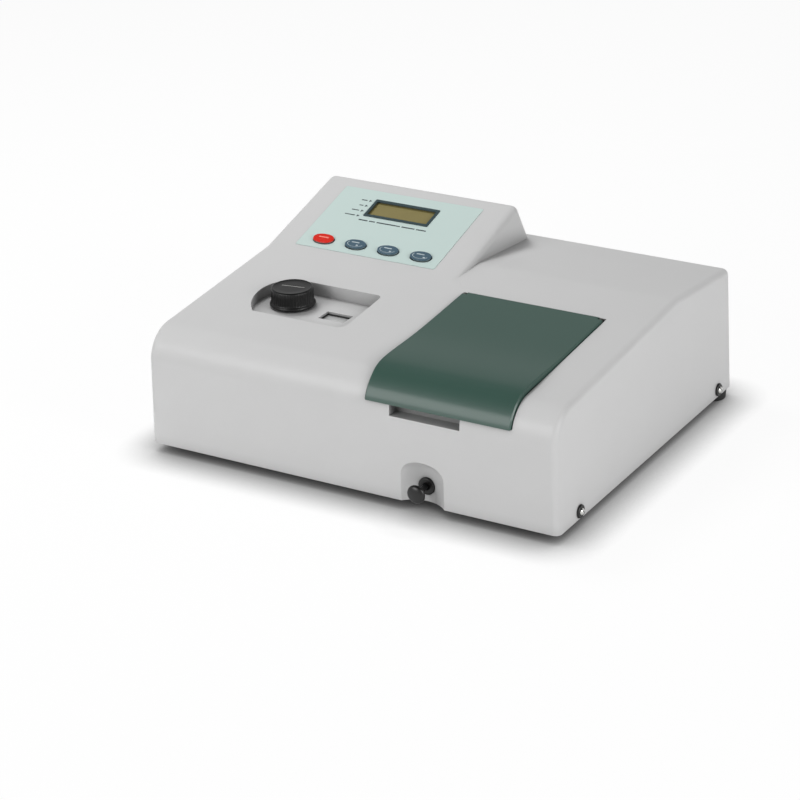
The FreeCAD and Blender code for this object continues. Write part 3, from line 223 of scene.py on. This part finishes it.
def finish(name, colour, roughness, metal=0.0, grain=0.6, relief=0.0, mottle=0.03, drift=0.04,
           coat=0.0, specular=0.5, cavity_shade=0.0):
    """A solid finish. Noise of a grain in millimetres shifts the colour by mottle and the roughness by a tenth, and
    is raised by relief in millimetres. A slow noise shifts the colour by drift. Cavity shade is painted shade: it
    darkens the colour by its share where walls stand closer than its reach."""
    material, output = empty_material(name)
    tree = material.node_tree
    place = add(tree, "ShaderNodeTexCoord").outputs["Object"]
    fine = add(tree, "ShaderNodeTexNoise", {"Scale": 1 / (grain * MM), "Detail": 3.0}, {"Vector": place})
    slow = add(tree, "ShaderNodeTexNoise", {"Scale": 1 / slow_grain, "Detail": 2.0}, {"Vector": place})
    near = add(tree, "ShaderNodeMapRange", {"To Min": 1 - mottle, "To Max": 1 + mottle},
               {"Value": fine.outputs[0]})
    far = add(tree, "ShaderNodeMapRange", {"To Min": 1 - drift, "To Max": 1 + drift},
              {"Value": slow.outputs[0]})
    level = add(tree, "ShaderNodeMath", {"operation": "MULTIPLY"}, {0: near.outputs[0], 1: far.outputs[0]})
    # Painted shade: ambient occlusion darkens the colour where walls stand close
    if cavity_shade > 0:
        cavity_occlusion = add(tree, "ShaderNodeAmbientOcclusion", {"samples": 8, "Distance": cavity_shade_reach})
        dim = add(tree, "ShaderNodeMapRange", {"To Min": 1 - cavity_shade, "To Max": 1.0},
                  {"Value": cavity_occlusion.outputs["AO"]})
        level = add(tree, "ShaderNodeMath", {"operation": "MULTIPLY"}, {0: level.outputs[0], 1: dim.outputs[0]})
    tint = add(tree, "ShaderNodeVectorMath", {"operation": "SCALE", 0: linear(colour)[:3]},
               {"Scale": level.outputs[0]})
    rough = add(tree, "ShaderNodeMapRange", {"To Min": roughness * 0.9, "To Max": roughness * 1.1},
                {"Value": fine.outputs[0]})
    shader = add(tree, "ShaderNodeBsdfPrincipled", {
        "Metallic": metal, "Coat Weight": coat, "Coat Roughness": 0.12, "Specular IOR Level": specular},
        {"Base Color": tint.outputs[0], "Roughness": rough.outputs[0]})
    if relief > 0:
        bump = add(tree, "ShaderNodeBump", {"Strength": 1.0, "Distance": relief * MM}, {"Height": fine.outputs[0]})
        tree.links.new(bump.outputs[0], shader.inputs["Normal"])
    tree.links.new(shader.outputs[0], output.inputs[0])
    return material


# Satin paint on ABS: pale grey, broad soft highlights, a 0.9 mm peel drawn a little coarse to show
# Painted shade darkens this paint where walls stand close: in the knob recess, the finger slot and the scoop
case_paint = finish("satin_grey_paint_on_abs", "#CBCBCB", 0.42, grain=0.9, relief=0.012, mottle=0.012,
                    drift=0.012, cavity_shade=0.72)
settle(smooth_copy("moulded_cover", "top_cover"), "case", "case_plastic", case_paint, "top_cover")

# Base tray and rear panel: folded sheet steel under grey stove enamel. The side screws hold
# the tray in the cover, and the rear panel stands in the cover's back.
# Stove enamel on steel: a flatter, slightly warm grey with a soft sheen
tray_enamel = finish("grey_stove_enamel", "#A9A9A6", 0.45, grain=1.2, relief=0.006, mottle=0.03)
settle(smooth_copy("base_tray", "base_plate"), "case", "base_steel", tray_enamel, "base_plate")
settle(smooth_copy("rear_sheet", "rear_panel"), "case", "base_steel", tray_enamel, "rear_panel")


# Four feet of moulded rubber with a rounded sole and a sunk middle, screwed under the tray.
def closed_grid(name, grid, ends=True):
    """A mesh of rings: row i, place j joins row i + 1, place j + 1, round each ring. Flat fans close both ends."""
    rows, seats = grid.shape[:2]
    i, j = np.meshgrid(np.arange(rows - 1), np.arange(seats), indexing="ij")
    k = (j + 1) % seats
    quads = np.stack([i * seats + j, i * seats + k, (i + 1) * seats + k, (i + 1) * seats + j], -1)
    faces = quads.reshape(-1, 4).tolist()
    if ends:
        faces.append(list(range(seats - 1, -1, -1)))
        faces.append(list(range((rows - 1) * seats, rows * seats)))
    piece = mesh_piece(name, grid.reshape(-1, 3), faces)
    work = bmesh.new()
    work.from_mesh(piece.data)
    bmesh.ops.remove_doubles(work, verts=work.verts, dist=0.001 * MM)
    bmesh.ops.dissolve_degenerate(work, edges=work.edges, dist=0.0005 * MM)
    bmesh.ops.recalc_face_normals(work, faces=work.faces)
    work.to_mesh(piece.data)
    work.free()
    piece.data.set_sharp_from_angle(angle=math.radians(40))
    return piece


def turned_piece(name, profile, centre, axis, seats=48):
    """A profile of (radius, height) in millimetres, turned round an axis through a centre in metres."""
    points = np.array(profile, float) * MM
    way = Vector(axis).normalized()
    side = way.orthogonal().normalized()
    other = way.cross(side)
    angle = np.linspace(0, 2 * np.pi, seats, endpoint=False)
    ring = np.outer(np.cos(angle), side) + np.outer(np.sin(angle), other)
    grid = np.array(centre) + points[:, None, 1:2] * np.array(way) + points[:, None, 0:1] * ring[None]
    return closed_grid(name, grid)


def corner_solids(node):
    """Centre and half size, in metres, of what a CAD node has in each quarter of the plan, from left to right."""
    mesh = nodes[node].data
    places = np.empty(len(mesh.vertices) * 3, np.float32)
    mesh.vertices.foreach_get("co", places)
    places = places.reshape(-1, 3).astype(float)
    quarter = 2 * (places[:, 0] > 0) + (places[:, 1] > 0)
    solids = [places[quarter == number] for number in range(4)]
    found = [((own.min(0) + own.max(0)) / 2, (own.max(0) - own.min(0)) / 2) for own in solids]
    return sorted(found, key=lambda item: tuple(np.round(item[0], 4)))


# Black rubber: dull and a little mottled, so the feet stay soft in the shadow
foot_rubber = finish("black_rubber", "#262626", 0.75, grain=0.8, relief=0.02, mottle=0.08)
foot_profile = [(9.0, 1.2), (9.6, 0.4), (11.6, 0.0), (12.6, 0.3), (13.2, 1.2), (13.9, 9.8), (13.9, 11.0)]
for number, (centre, half) in enumerate(corner_solids("rubber_feet"), 1):
    sole = centre - np.array((0, 0, half[2]))
    foot = turned_piece("foot_%d" % number, foot_profile, sole, (0, 0, 1))
    settle(foot, "case", "rubber", foot_rubber, *(["rubber_feet"] if number == 1 else []))


# Screws low on the two sides: a bright domed head with a slot, in a black nylon cup washer.
# They hold the cover to the tray.
def bar_piece(name, start, end, width, thickness, up):
    """A flat bar between two points, width wide and thickness high along up, with its long top edges bevelled."""
    start, end, up = (np.array(point, float) for point in (start, end, up))
    up /= np.linalg.norm(up)
    side = np.cross(up, (end - start) / np.linalg.norm(end - start))
    outline = np.array([(-0.5, 0), (0.5, 0), (0.5, 0.66), (0.35, 1), (-0.35, 1), (-0.5, 0.66)])
    ring = outline[:, :1] * width * side + outline[:, 1:] * thickness * up
    return closed_grid(name, np.stack([start + ring, end + ring]))


# Moulded nylon: black with a soft gleam. Nickel plate: nearly a mirror, it catches the lamps
cup_nylon = finish("black_nylon", "#141414", 0.35, grain=0.7, relief=0.004)
bright_steel = finish("nickel_plated_steel", "#D9D9D6", 0.16, metal=1.0, grain=0.4, mottle=0.02)
side_lean = math.radians(1.5)
cup_profile = [(0.0, 0.05), (6.9, 0.05), (7.0, 0.5), (6.9, 1.3), (6.4, 2.1), (5.7, 2.35), (5.0, 2.2), (4.5, 1.6),
               (0.0, 1.4)]
dome_profile = [(0.0, 1.3), (3.9, 1.3), (3.9, 2.2), (3.65, 3.0), (3.0, 3.7), (2.0, 4.2), (1.0, 4.4), (0.0, 4.45)]
seat_depth = 1.2 * MM
slot_height = 4.0 * MM
slot_half = 2.3 * MM
slot_way = (0, 0.8, 0.6)
for number, (centre, half) in enumerate(corner_solids("cup_washers"), 1):
    side = 1 if centre[0] > 0 else -1
    axis = np.array((side * math.cos(side_lean), 0, math.sin(side_lean)))
    seat = centre - axis * seat_depth
    cup = turned_piece("cup_washer_%d" % number, cup_profile, seat, axis)
    dome = turned_piece("screw_head_%d" % number, dome_profile, seat, axis)
    # The slot is a raised black bar on the dome: painted shade that stands in for the dark of the cut
    reach = np.cross(axis, slot_way) * slot_half
    face = seat + axis * slot_height
    slot_shade_bar = bar_piece("screw_slot_shade_%d" % number, face - reach, face + reach, 0.9 * MM, 0.5 * MM, axis)
    settle(cup, "case", "black_nylon", cup_nylon, *(["cup_washers"] if number == 1 else []))
    settle(dome, "case", "bright_steel", bright_steel, *(["side_screws"] if number == 1 else []))
    settle(slot_shade_bar, "case", "black_nylon", cup_nylon)


# Sample lid: a moulded cover of dark green ABS with a satin face that rolls over the front
# edge. It turns on two steel pins in steel ears at its back.
def crown_lid(piece, middle, back_spread, front_spread, rise, skirt):
    """Crowns the lid over its front roll: lift = rise * exp(-((y - middle) / spread)^2), with one spread behind
    the middle and one before it, faded out towards the skirt height, along a way that leans to the front."""
    cut_step, fade, lean = 4 * MM, 18 * MM, math.radians(25)
    work = bmesh.new()
    work.from_mesh(piece.data)
    for y in np.arange(middle - 2 * front_spread, middle + 2.4 * back_spread, cut_step):
        bmesh.ops.bisect_plane(work, geom=work.verts[:] + work.edges[:] + work.faces[:],
                               plane_co=(0, y, 0), plane_no=(0, 1, 0), dist=0.001 * MM)
    bmesh.ops.triangulate(work, faces=work.faces)
    work.to_mesh(piece.data)
    work.free()
    places = np.empty(len(piece.data.vertices) * 3, np.float32)
    piece.data.vertices.foreach_get("co", places)
    places = places.reshape(-1, 3).astype(float)
    spread = np.where(places[:, 1] > middle, back_spread, front_spread)
    lift = rise * np.exp(-((places[:, 1] - middle) / spread) ** 2)
    lift *= np.clip((places[:, 2] - skirt) / fade, 0, 1)
    places += lift[:, None] * np.array((0, -math.sin(lean), math.cos(lean)))
    piece.data.vertices.foreach_set("co", places.astype(np.float32).ravel())
    piece.data.polygons.foreach_set("use_smooth", np.ones(len(piece.data.polygons), bool))
    piece.data.set_sharp_from_angle(angle=math.radians(lid_corner))
    piece.data.update()


lid_corner = 28.0
# Satin moulded ABS: its thin gloss goes pale where it meets the horizon and dark on the roll
lid_green = finish("satin_green_grey_abs", "#365249", 0.42, grain=0.8, relief=0.006, coat=0.2, drift=0.03)
lid = smooth_copy("rolled_lid", "sample_lid", lid_corner)
crown_lid(lid, middle=-151.3 * MM, back_spread=45 * MM, front_spread=22 * MM, rise=3.8 * MM,
          skirt=116 * MM)
settle(lid, "lid", "lid_plastic", lid_green, "sample_lid")


# Pull rod's end: a turned black phenolic knob with a domed face and a waist, screwed on the
# rod. The rod slides in a flanged bush of black aluminium, pressed into the scoop's wall.
def bounds_of(node):
    """The low corner, the high corner and the middle of a CAD node's box, in metres."""
    low, high = (np.array(corner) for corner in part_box(node))
    return low, high, (low + high) / 2


# Anodised aluminium: black with a faint metal sheen. Phenolic: a deep black, polished by hand
rod_black = finish("satin_black_anodising", "#101010", 0.36, metal=0.1, grain=0.5, relief=0.003, mottle=0.05)
knob_gloss = finish("turned_black_phenolic", "#0D0D0D", 0.34, grain=0.5, mottle=0.05)
low, high, middle = bounds_of("pull_knob")
pull = turned_piece("pull_handle", [
    (0.0, 0.05), (2.5, 0.15), (5.0, 0.55), (7.0, 1.2), (8.5, 2.1), (9.4, 3.1), (9.75, 4.1), (9.6, 5.1), (8.6, 5.9),
    (6.6, 6.4), (5.2, 6.8), (4.6, 7.4), (4.4, 8.0), (3.05, 8.0), (3.05, 6.0), (0.0, 6.0)],
    (middle[0], low[1], middle[2]), (0, 1, 0), 56)
settle(pull, "carriage", "knob_black", knob_gloss, "pull_knob")
low, high, middle = bounds_of("rod_bush")
bush = turned_piece("bush_flange", [
    (3.1, 0.0), (9.05, 0.0), (9.05, 2.2), (8.7, 2.8), (8.0, 3.1), (4.4, 3.15), (3.7, 2.7), (3.1, 2.0)],
    (middle[0], high[1], middle[2]), (0, -1, 0), 56)
settle(bush, "case", "black_anodised", rod_black, "rod_bush")

# Wavelength knob: black phenolic, moulded with a flared foot, forty eight shallow finger
# flutes and a sunk top with one pale line across it. A set screw holds it on its shaft.
# Moulded phenolic: near black, a fine grain breaks its highlights
knob_black = finish("black_phenolic", "#101010", 0.36, grain=0.5, relief=0.02, mottle=0.1, drift=0.06,
                    specular=0.38)
low, high, spin = bounds_of("wavelength_knob")
flutes = 48
flute_depth = 0.4
seats = flutes * 6
knob_profile = np.array([
    (3.1, 0.4), (22.6, 0.1), (23.5, 0.5), (23.85, 1.2), (23.8, 2.4), (23.3, 3.3), (22.5, 4.0), (22.2, 4.6),
    (22.2, 5.4), (22.25, 9.0), (22.25, 13.0), (22.2, 17.0), (22.0, 17.9), (21.5, 18.7), (20.9, 19.2), (20.3, 19.5),
    (19.9, 19.45), (19.5, 19.1), (19.0, 18.95), (12.0, 18.95), (0.3, 18.95)])
profile_radius, profile_height = knob_profile[:, :1], knob_profile[:, 1:]
angle = np.linspace(0, 2 * np.pi, seats, endpoint=False)
# Broad crests and narrow valleys: a raised cosine wave to the power 0.6
wave = (0.5 - 0.5 * np.cos(flutes * angle)) ** 0.6
fluted_share = np.clip((profile_height - 4.2) / 1.0, 0, 1) * np.clip((18.6 - profile_height) / 0.8, 0, 1)
radius = profile_radius - flute_depth * fluted_share * (1 - wave)
grid = np.stack([spin[0] + radius * MM * np.cos(angle), spin[1] + radius * MM * np.sin(angle),
                 low[2] + np.repeat(profile_height, seats, 1) * MM], -1)
settle(closed_grid("fluted_knob", grid), "knob", "knob_black", knob_black, "wavelength_knob")

# Pale line across the knob's sunk top, a little off its middle: a thin pale strip that turns with the knob, a painted
# highlight that stands in for the light caught along a shallow groove.
groove_highlight = finish("painted_groove_highlight", "#A9A9A6", 0.5)
line_turn = math.radians(9)
line_middle = np.array((spin[0] + 0.2 * MM, spin[1] + 1.9 * MM, low[2] + 18.93 * MM))
line_half, line_width, line_ink = 12.6 * MM, 0.9 * MM, 0.12 * MM
line_reach = np.array((math.cos(line_turn), math.sin(line_turn), 0)) * line_half
line = bar_piece("knob_line", line_middle - line_reach, line_middle + line_reach, line_width, line_ink, (0, 0, 1))
settle(line, "knob", "label", groove_highlight)

# Dial strokes: black paint in engraved marks round the white wheel, one every three degrees
# and each fifth one long. They turn with the wheel and pass under the window in the recess.
# Lacquered aluminium: a clean matt white. Scale paint: a flat black
dial_lacquer = finish("white_lacquer", "#EFEFEA", 0.45, grain=0.8, mottle=0.01)
stroke_black = finish("black_scale_paint", "#1E1E1E", 0.5)
low, high, hub = bounds_of("dial_wheel")
outer = 58.0 * MM
stroke_half = 0.25 * MM
stroke_rise = 0.05 * MM
long_stroke, short_stroke = 7.5 * MM, 4.5 * MM
turn = np.radians(np.arange(0, 360, 3.0))
inner = outer - np.where(np.arange(turn.size) % 5 == 0, long_stroke, short_stroke)
reach = np.stack([inner, np.full_like(inner, outer), np.full_like(inner, outer), inner], -1)
shift = np.array((-1, -1, 1, 1)) * stroke_half
cosine, sine = np.cos(turn)[:, None], np.sin(turn)[:, None]
flat = np.stack([hub[0] + reach * cosine - shift * sine, hub[1] + reach * sine + shift * cosine], -1)
layers = [np.concatenate([flat, np.full(flat.shape[:2] + (1,), z)], -1) for z in (high[2], high[2] + stroke_rise)]
sides = [(3, 2, 1, 0), (4, 5, 6, 7), (0, 1, 5, 4), (1, 2, 6, 5), (2, 3, 7, 6), (3, 0, 4, 7)]
faces = np.concatenate([np.arange(turn.size)[:, None] * 8 + np.array(side) for side in sides])
strokes = mesh_piece("dial_strokes", np.stack(layers, 1).reshape(-1, 3), faces.tolist(), False)
settle(strokes, "dial", "component_black", stroke_black)


# Window lip: a strip of black rubber in the window's hole just above the lens, a dark sheet that stands for the shade
# on the hole's walls: painted shade. It lines the lower half of the hole, so a dark edge frames the dial.
def rectangle(left, front, right, back):
    """The corners of a flat rectangle, in turn."""
    return np.array([(left, front), (right, front), (right, back), (left, back)])


low, high, middle = bounds_of("dial_lens")
hole = np.array((-97.6, -80.0192, -67.1, -60.8192)) * MM
shade_lip = np.array((1, 1, -1, -1)) * 0.5 * MM
floor_height = 132.75 * MM
shade_lip_low = high[2] + 0.02 * MM
shade_lip_high = shade_lip_low + 0.5 * (floor_height - shade_lip_low)
outside, inside = rectangle(*hole), rectangle(*(hole + shade_lip))
rings = np.stack([outside, outside, inside, inside, outside])
heights = np.array((shade_lip_low, shade_lip_high, shade_lip_high, shade_lip_low, shade_lip_low))
grid = np.concatenate([rings, np.broadcast_to(heights[:, None, None], (5, 4, 1))], -1)
settle(closed_grid("window_shade_lip", grid, ends=False), "case", "rubber", foot_rubber)


# Control panel: a pale blue green polyester film glued on the raised housing, with a sunk
# display in a dark acrylic frame that snaps in behind it. Both keep their CAD shapes.
def on_film(outline, heights):
    """Rings on the film, one for each height n in millimetres: foot + x across + s up the panel + n out of it."""
    outline = np.broadcast_to(outline, (len(heights),) + np.shape(outline)[-2:])
    heights = np.broadcast_to(np.array(heights, float)[:, None, None], outline.shape[:2] + (1,))
    return panel_foot + np.concatenate([outline, heights], -1) @ panel_ways


# Polyester film: a smooth matt face. Acrylic: dark teal with a gleam
film_green = finish("printed_polyester_film", "#C3D4D0", 0.4, grain=0.5, mottle=0.012, drift=0.01, relief=0.002)
frame_dark = finish("dark_teal_acrylic", "#35464A", 0.3, grain=0.6)

# The film leans 15.65 degrees. Its foot line, 219 mm behind the front edge, lies on the cover's
# top, which starts 122 mm over the tray and climbs at 4.95 degrees from a face that leans 0.45
panel_tilt, top_slope, front_lean = (math.radians(turn) for turn in (15.65, 4.95, 0.45))
panel_front, front_edge, front_top, tray_height = 219.0, -191.3192, 122.0, 11.0
climb = (panel_front - front_top * math.tan(front_lean)) * math.tan(top_slope)
panel_foot = np.array((1.0, front_edge + panel_front, tray_height + front_top + climb)) * MM
panel_ways = MM * np.array([(1, 0, 0), (0, math.cos(panel_tilt), math.sin(panel_tilt)),
                            (0, -math.sin(panel_tilt), math.cos(panel_tilt))])
film_top = 0.5
ink = 0.04


# Four keys: oval caps of moulded ABS with rounded rims, on flat stems that pass through slots
# in the panel to sprung switches. The first is red. Each has a pale printed mark.
def oval(half_x, half_y, count=64):
    """A plump oval: x = a cos t |cos t|^(-0.07), y = b sin t |sin t|^(-0.07)."""
    t = np.linspace(0, 2 * np.pi, count, endpoint=False)
    c, s = np.cos(t), np.sin(t)
    return np.stack([half_x * np.sign(c) * np.abs(c) ** 0.93, half_y * np.sign(s) * np.abs(s) ** 0.93], -1)


# Moulded ABS: clean and even, with a soft highlight round each rim. Screen printed inks: flat. The dark ring round
# each key is painted shade of the gap under its cap
key_blue = finish("slate_blue_key", "#475F6E", 0.4, grain=0.5, relief=0.004)
key_red = finish("red_key", "#D2200E", 0.35, grain=0.5, relief=0.004)
print_pale = finish("pale_print", "#B8C4C8", 0.5)
print_rose = finish("rose_print", "#F08A7C", 0.5)
key_gap_shade = finish("dark_key_rim", "#27343A", 0.5)
cap_half = np.array((12.35, 7.45))
# Share of the outline, inset and height, in millimetres, of each ring from the cap's foot to its top
cap_rings = ((1, 0.5, 1.58), (1, 0.0, 1.8), (1, 0.0, 2.5), (1, 0.18, 2.85), (1, 0.55, 3.03), (1, 1.2, 3.08),
             (0.6, 1.2, 3.02), (0.25, 1.2, 2.98))
cap_outlines = np.stack([oval(*(cap_half - inset)) * share for share, inset, n in cap_rings])
cap_heights = [n for share, inset, n in cap_rings]
gap_shade_outlines = np.stack([oval(11.6, 6.7), oval(13.0, 8.1), oval(13.0, 8.1), oval(11.6, 6.7), oval(11.6, 6.7)])
gap_shade_heights = (film_top, film_top, film_top + ink, film_top + ink, film_top)
arc_turn = np.linspace(math.radians(150), math.radians(345), 33)
arc_line = np.stack([9.6 * np.cos(arc_turn), 5.3 * np.sin(arc_turn)], -1)
arc_outlines = np.array((0.93, 1.0, 1.0, 0.93))[:, None, None] * arc_line
stem_outline, stem_heights = rectangle(-4.0, -2.5, 4.0, 2.5), (-7.7, 1.7)
mark_low, mark_high = 2.95, 3.1
key_line = 27.2
for number, key_x in enumerate((-174.0, -134.0, -94.0, -54.0), 1):
    body, node = "button_%d" % number, "key_%d" % number
    slot, skin, pale = ("key_red", key_red, print_rose) if number == 1 else ("key_blue", key_blue, print_pale)
    spot = np.array((key_x, key_line))
    settle(closed_grid(node + "_cap", on_film(spot + cap_outlines, cap_heights)), body, slot, skin, node)
    stem = closed_grid(node + "_stem", on_film(spot + stem_outline, stem_heights))
    settle(stem, body, slot, skin)
    marks = [(-6.0, 0.3, 6.0, 2.3)] if number == 1 else [
        (-5.5, 1.4, 3.8, 2.8), (number, -3.4, number + 2.4, -1.6)]
    for place, corners in enumerate(marks, 1):
        mark = closed_grid("%s_mark_%d" % (node, place), on_film(spot + rectangle(*corners), (mark_low, mark_high)))
        settle(mark, body, "label", pale)
    if number > 1:
        arc = on_film(spot + arc_outlines, (mark_low, mark_low, mark_high, mark_high))
        settle(closed_grid(node + "_arc", arc.transpose(1, 0, 2)), body, "label", pale)
    # A dark ring on the film round each cap's foot: painted shade that stands for the shade in the gap round the key
    settle(closed_grid(node + "_rim", on_film(spot + gap_shade_outlines, gap_shade_heights), ends=False), "case", "bezel",
           key_gap_shade)

# Marks on the film: four small triangles with short bars beside the display, and a row of
# bars below it, all screen printed on its face.
# Screen printed ink: flat and dark
print_dark = finish("dark_print", "#3A4348", 0.5)
prints = []
mark_tail, mark_tip, mark_half = -161.5, -158.0, 1.9
mode_end, mode_half = -164.0, 0.75
for number, (s, length) in enumerate(((105.2, 7.0), (95.8, 5.0), (86.3, 9.0), (77.1, 12.5)), 1):
    prints.append(("mode_mark_%d" % number, [(mark_tail, s - mark_half), (mark_tip, s), (mark_tail, s + mark_half)]))
    prints.append(("mode_bar_%d" % number, rectangle(mode_end - length, s - mode_half, mode_end, s + mode_half)))
bar_x, bar_low, bar_high, bar_gap = -155.6, 70.1, 71.9, 2.0
for number, length in enumerate((11.0, 7.5, 29.0, 16.0, 12.0), 1):
    prints.append(("title_bar_%d" % number, rectangle(bar_x, bar_low, bar_x + length, bar_high)))
    bar_x += length + bar_gap
for name, outline in prints:
    settle(closed_grid(name, on_film(outline, (film_top, film_top + ink))), "case", "label", print_dark)


# Every other piece keeps its CAD shape and place, and takes the finish of its metal, glass or
# plastic: the tub and carriage, the monochromator, the lamp, the boards and the rear fittings.
def clear_finish(name, colour, roughness, see_through):
    """Clear plastic or glass as a thin pane: a share of it is see through, the rest is a clean, smooth face."""
    material, output = empty_material(name)
    tree = material.node_tree
    place = add(tree, "ShaderNodeTexCoord").outputs["Object"]
    haze = add(tree, "ShaderNodeTexNoise", {"Scale": 1 / (6 * MM)}, {"Vector": place})
    rough = add(tree, "ShaderNodeMapRange", {"To Min": roughness, "To Max": roughness * 1.5},
                {"Value": haze.outputs[0]})
    shader = add(tree, "ShaderNodeBsdfPrincipled", {
        "Base Color": linear(colour), "Alpha": 1 - see_through, "IOR": 1.5}, {"Roughness": rough.outputs[0]})
    tree.links.new(shader.outputs[0], output.inputs[0])
    return material


finishes = {
    "label": film_green, "bezel": frame_dark, "bright_steel": bright_steel, "dial_white": dial_lacquer,
    "base_steel": tray_enamel, "black_nylon": cup_nylon, "rubber": foot_rubber, "knob_black": knob_black,
    "case_plastic": case_paint, "lid_plastic": lid_green, "key_red": key_red, "key_blue": key_blue,
    # Phosphated steel of the ears and pins: dark grey, half metallic
    "steel": finish("phosphated_steel", "#6E6E6C", 0.42, metal=0.8, grain=0.3, mottle=0.04),
    # Enamel inside the compartment: a flat black that swallows stray light
    "tub_black": finish("matt_black_enamel", "#1B1B1B", 0.7, grain=0.9, relief=0.01, mottle=0.08),
    # Anodising on the carriage, the rod and the slits: black with a dull metal edge
    "black_anodised": finish("black_anodised_aluminium", "#1C1C1D", 0.38, metal=0.35, grain=0.35, relief=0.003,
                             mottle=0.06),
    # Glass of the windows and the lamp: clear with small sharp glints
    "clear_glass": clear_finish("clear_glass", "#E8F0F0", 0.03, 0.85),
    # Acrylic over the dial and the display: clear with a slight milkiness
    "window": clear_finish("clear_acrylic", "#F4F5F5", 0.05, 0.55),
    # Liquid crystal cell at rest: an even olive under gloss
    "display_olive": finish("olive_display", "#857B4E", 0.22, grain=3.0, mottle=0.02, drift=0.08, coat=0.4),
    # Silvered mirrors and the grating: a mirror with no grain
    "mirror": finish("silvered_glass", "#E4E6E8", 0.05, metal=1.0, grain=4.0, mottle=0.005),
    # Sand cast aluminium of the monochromator box: grainy and dull
    "cast_metal": finish("cast_aluminium", "#9A9A9A", 0.55, metal=0.8, grain=1.0, relief=0.03),
    # Turned brass of the pinions: warm and bright
    "brass": finish("turned_brass", "#C9A45C", 0.3, metal=1.0, grain=0.3),
    # Zinc plated sheet of the lamp housing: pale with a coarse bloom
    "zinc_sheet": finish("zinc_plated_sheet", "#B4B6B8", 0.4, metal=0.9, grain=5.0, mottle=0.06),
    # Fibreglass laminate of the boards: deep green under resin
    "board_green": finish("green_laminate", "#1F5E3A", 0.4, grain=0.6),
    # Stacked iron sheets of the transformer: brown grey, uneven
    "core_iron": finish("laminated_iron", "#5A5855", 0.5, metal=0.6, grain=0.5, mottle=0.1),
    # Polyester tape round the coil: plain yellow with a sheen
    "coil_tape": finish("yellow_tape", "#C79A3A", 0.45, grain=0.8),
    # Extruded aluminium of the heat sink: bright, fine lines
    "heat_sink": finish("extruded_aluminium", "#B9BABC", 0.35, metal=0.9, grain=0.4),
    # Moulded casings of the inlet, switch and parts: black with a fine spark grain
    "component_black": finish("black_moulding", "#202022", 0.4, grain=0.6, relief=0.004),
    # Glazed ceramic of the lamp socket: cream and glassy
    "ceramic": finish("glazed_ceramic", "#E2DED2", 0.25, grain=1.0, coat=0.3)}
slot_of = {row["node"]: row["material_slot"] for row in frame["record"]["subparts"]}
for name, piece in nodes.items():
    piece.data.materials.clear()
    piece.data.materials.append(finishes[slot_of[name]])
